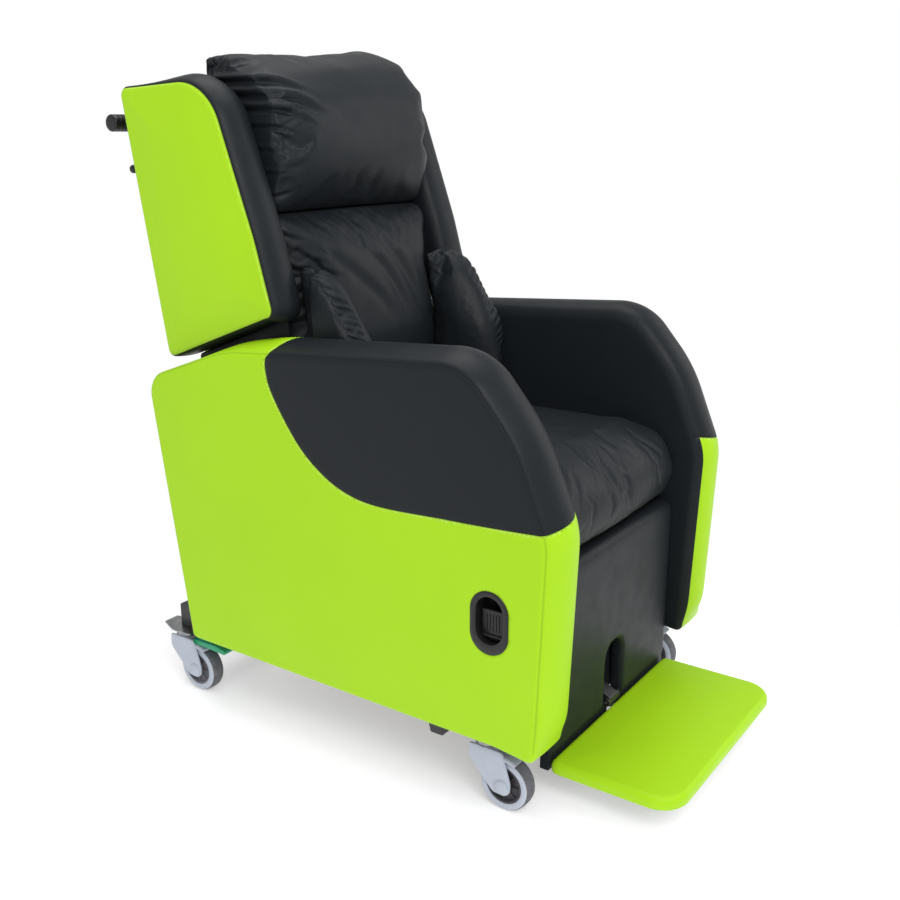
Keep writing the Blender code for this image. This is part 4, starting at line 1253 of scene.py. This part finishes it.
def brake_pedal(label, x, y):
    """Green foot pedal with ribs across its tread."""
    corners = (
        (-0.0330, 0.1090, 0.003),
        (-0.0330, 0.1185, 0.003),
        (-0.1000, 0.1210, 0.012),
        (-0.1300, 0.1150, 0.004),
        (-0.1260, 0.1060, 0.003),
        (-0.0800, 0.1085, 0.004),
    )
    outline = even(rounded([(y + u, v, r) for u, v, r in corners]), 0.001)
    body = padded_slab(outline, -0.0175, 0.0175, (0.0014, 0.0014), spacing=0.004)
    bmesh.ops.translate(body, vec=(x, 0, 0), verts=body.verts)
    shapes = [body, bar(x - 0.0222, x + 0.0222, (y - TRAIL, 0.1135), 0.0025)]
    for k in range(5):
        reach = y - 0.085 - 0.008 * k
        shapes.append(bar(x - 0.0150, x + 0.0150, (reach, 0.1192 - 0.0009 * k), 0.0016, 12))
    mesh = to_mesh("foot_pedal", *shapes)
    place(f"foot_pedal_{label}", mesh, f"pedal_{label}", "pedal_green", f"brake_pedal_{label}", sharp=40)


def castor_flange(label, x, y, braked):
    """Pressed top plate with rounded corners over the turned swivel housing; a rear one has a long tail."""
    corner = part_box(f"castor_plate_{label}")[1]
    top, half = corner.z, corner.x - x
    side = 1 if x > 0 else -1
    corners = [(-half, -0.034, 0.004), (half, -0.034, 0.004), (half, 0.018, 0.006)]
    if braked:
        corners += [(0.010, 0.060, 0.004), (-half, 0.060, 0.006)]
    else:
        corners += [(half, 0.034, 0.004), (-half, 0.034, 0.004)]
    outline = even(rounded(corners), 0.002)
    plate = padded_slab(outline, top - 0.0040, top, (0.0007, 0.0007), spacing=0.006)
    for vert in plate.verts:
        height, u, v = vert.co
        vert.co = (x + side * u, y + v, height)
    mesh = to_mesh("castor_flange", plate, turned_upright(HOUSING, x, y))
    place(f"castor_flange_{label}", mesh, "chassis", "zinc_steel", f"castor_plate_{label}", sharp=35)


for label in ("front_left", "front_right", "rear_left", "rear_right"):
    axle = middle(f"castor_axle_{label}")
    spot = (axle.x, axle.y + TRAIL - DATUM_Y)
    braked = label.startswith("rear")
    castor_flange(label, *spot, braked)
    castor_fork(label, *spot)
    castor_wheel(label, *spot, braked)
    if braked:
        brake_pedal(label, *spot)


# ---------------------------------------------------------------- carried-over CAD parts


# Boards whose vinyl cover shows beside the cushions
UPHOLSTERED_BOARDS = ("back_board", "legrest_board")


def dress(node):
    """A CAD node keeps its shape: it gets softened edges and its finish."""
    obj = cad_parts[node]
    slot = obj.data.materials[0].name.split(".")[0] if obj.data.materials else "black_steel"
    if node in UPHOLSTERED_BOARDS:
        slot = "charcoal_vinyl"
    if slot not in FINISH:
        slot = "black_steel"
    for material_slot in obj.material_slots:
        material_slot.material = FINISH[slot]
    weld = obj.modifiers.new("weld", "WELD")
    weld.merge_threshold = 0.00002
    soften = obj.modifiers.new("soften", "BEVEL")
    soften.width = 0.0010
    soften.segments = 2
    soften.limit_method = "ANGLE"
    soften.angle_limit = radians(50)
    soften.use_clamp_overlap = True
    even_out = obj.modifiers.new("normals", "WEIGHTED_NORMAL")
    even_out.keep_sharp = True


for node, obj in sorted(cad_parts.items()):
    if not obj.hide_render:
        dress(node)


# ---------------------------------------------------------------- studio


def studio():
    """White floor, soft white surroundings and three large soft lights."""
    bpy.ops.mesh.primitive_plane_add(size=60, location=(0, 0, 0))
    floor = bpy.context.object
    floor.name = "studio_floor"
    floor.data.materials.append(studio_floor("studio_floor"))
    world = bpy.data.worlds.new("studio")
    bpy.context.scene.world = world
    world.use_nodes = True
    tree = world.node_tree
    soft = tree.nodes["Background"]
    soft.inputs["Color"].default_value = (1.0, 1.0, 1.0, 1.0)
    soft.inputs["Strength"].default_value = 0.55
    seen = tree.nodes.new("ShaderNodeBackground")
    seen.inputs["Color"].default_value = (1.0, 1.0, 1.0, 1.0)
    seen.inputs["Strength"].default_value = 1.0
    path = tree.nodes.new("ShaderNodeLightPath")
    either = tree.nodes.new("ShaderNodeMixShader")
    tree.links.new(path.outputs["Is Camera Ray"], either.inputs[0])
    tree.links.new(soft.outputs[0], either.inputs[1])
    tree.links.new(seen.outputs[0], either.inputs[2])
    tree.links.new(either.outputs[0], tree.nodes["World Output"].inputs["Surface"])
    target = Vector((0, 0, 0.6))
    for name, spot, size, power in (
        ("key_light", (-2.2, -2.6, 3.2), 2.2, 75.0),
        ("fill_light", (2.6, -2.2, 2.2), 2.6, 25.0),
        ("top_light", (0.2, 0.4, 3.6), 2.4, 45.0),
    ):
        light = bpy.data.lights.new(name, "AREA")
        light.size = size
        light.energy = power
        lamp = bpy.data.objects.new(name, light)
        bpy.context.scene.collection.objects.link(lamp)
        lamp.location = spot
        lamp.rotation_euler = (Vector(spot) - target).to_track_quat("Z", "Y").to_euler()


def camera():
    """The camera at the height and angle that show the chair three-quarters from its right front."""
    lens = bpy.data.cameras.new("camera")
    lens.lens = 43.71
    lens.sensor_width = 36.0
    eye = bpy.data.objects.new("camera", lens)
    bpy.context.scene.collection.objects.link(eye)
    eye.location = (-1.7672, -1.2012, 1.1618)
    back = Vector((-0.79125, -0.54287, 0.28146))
    eye.rotation_euler = back.to_track_quat("Z", "Y").to_euler()
    bpy.context.scene.camera = eye


studio()
camera()
bpy.context.scene.view_settings.view_transform = "Standard"
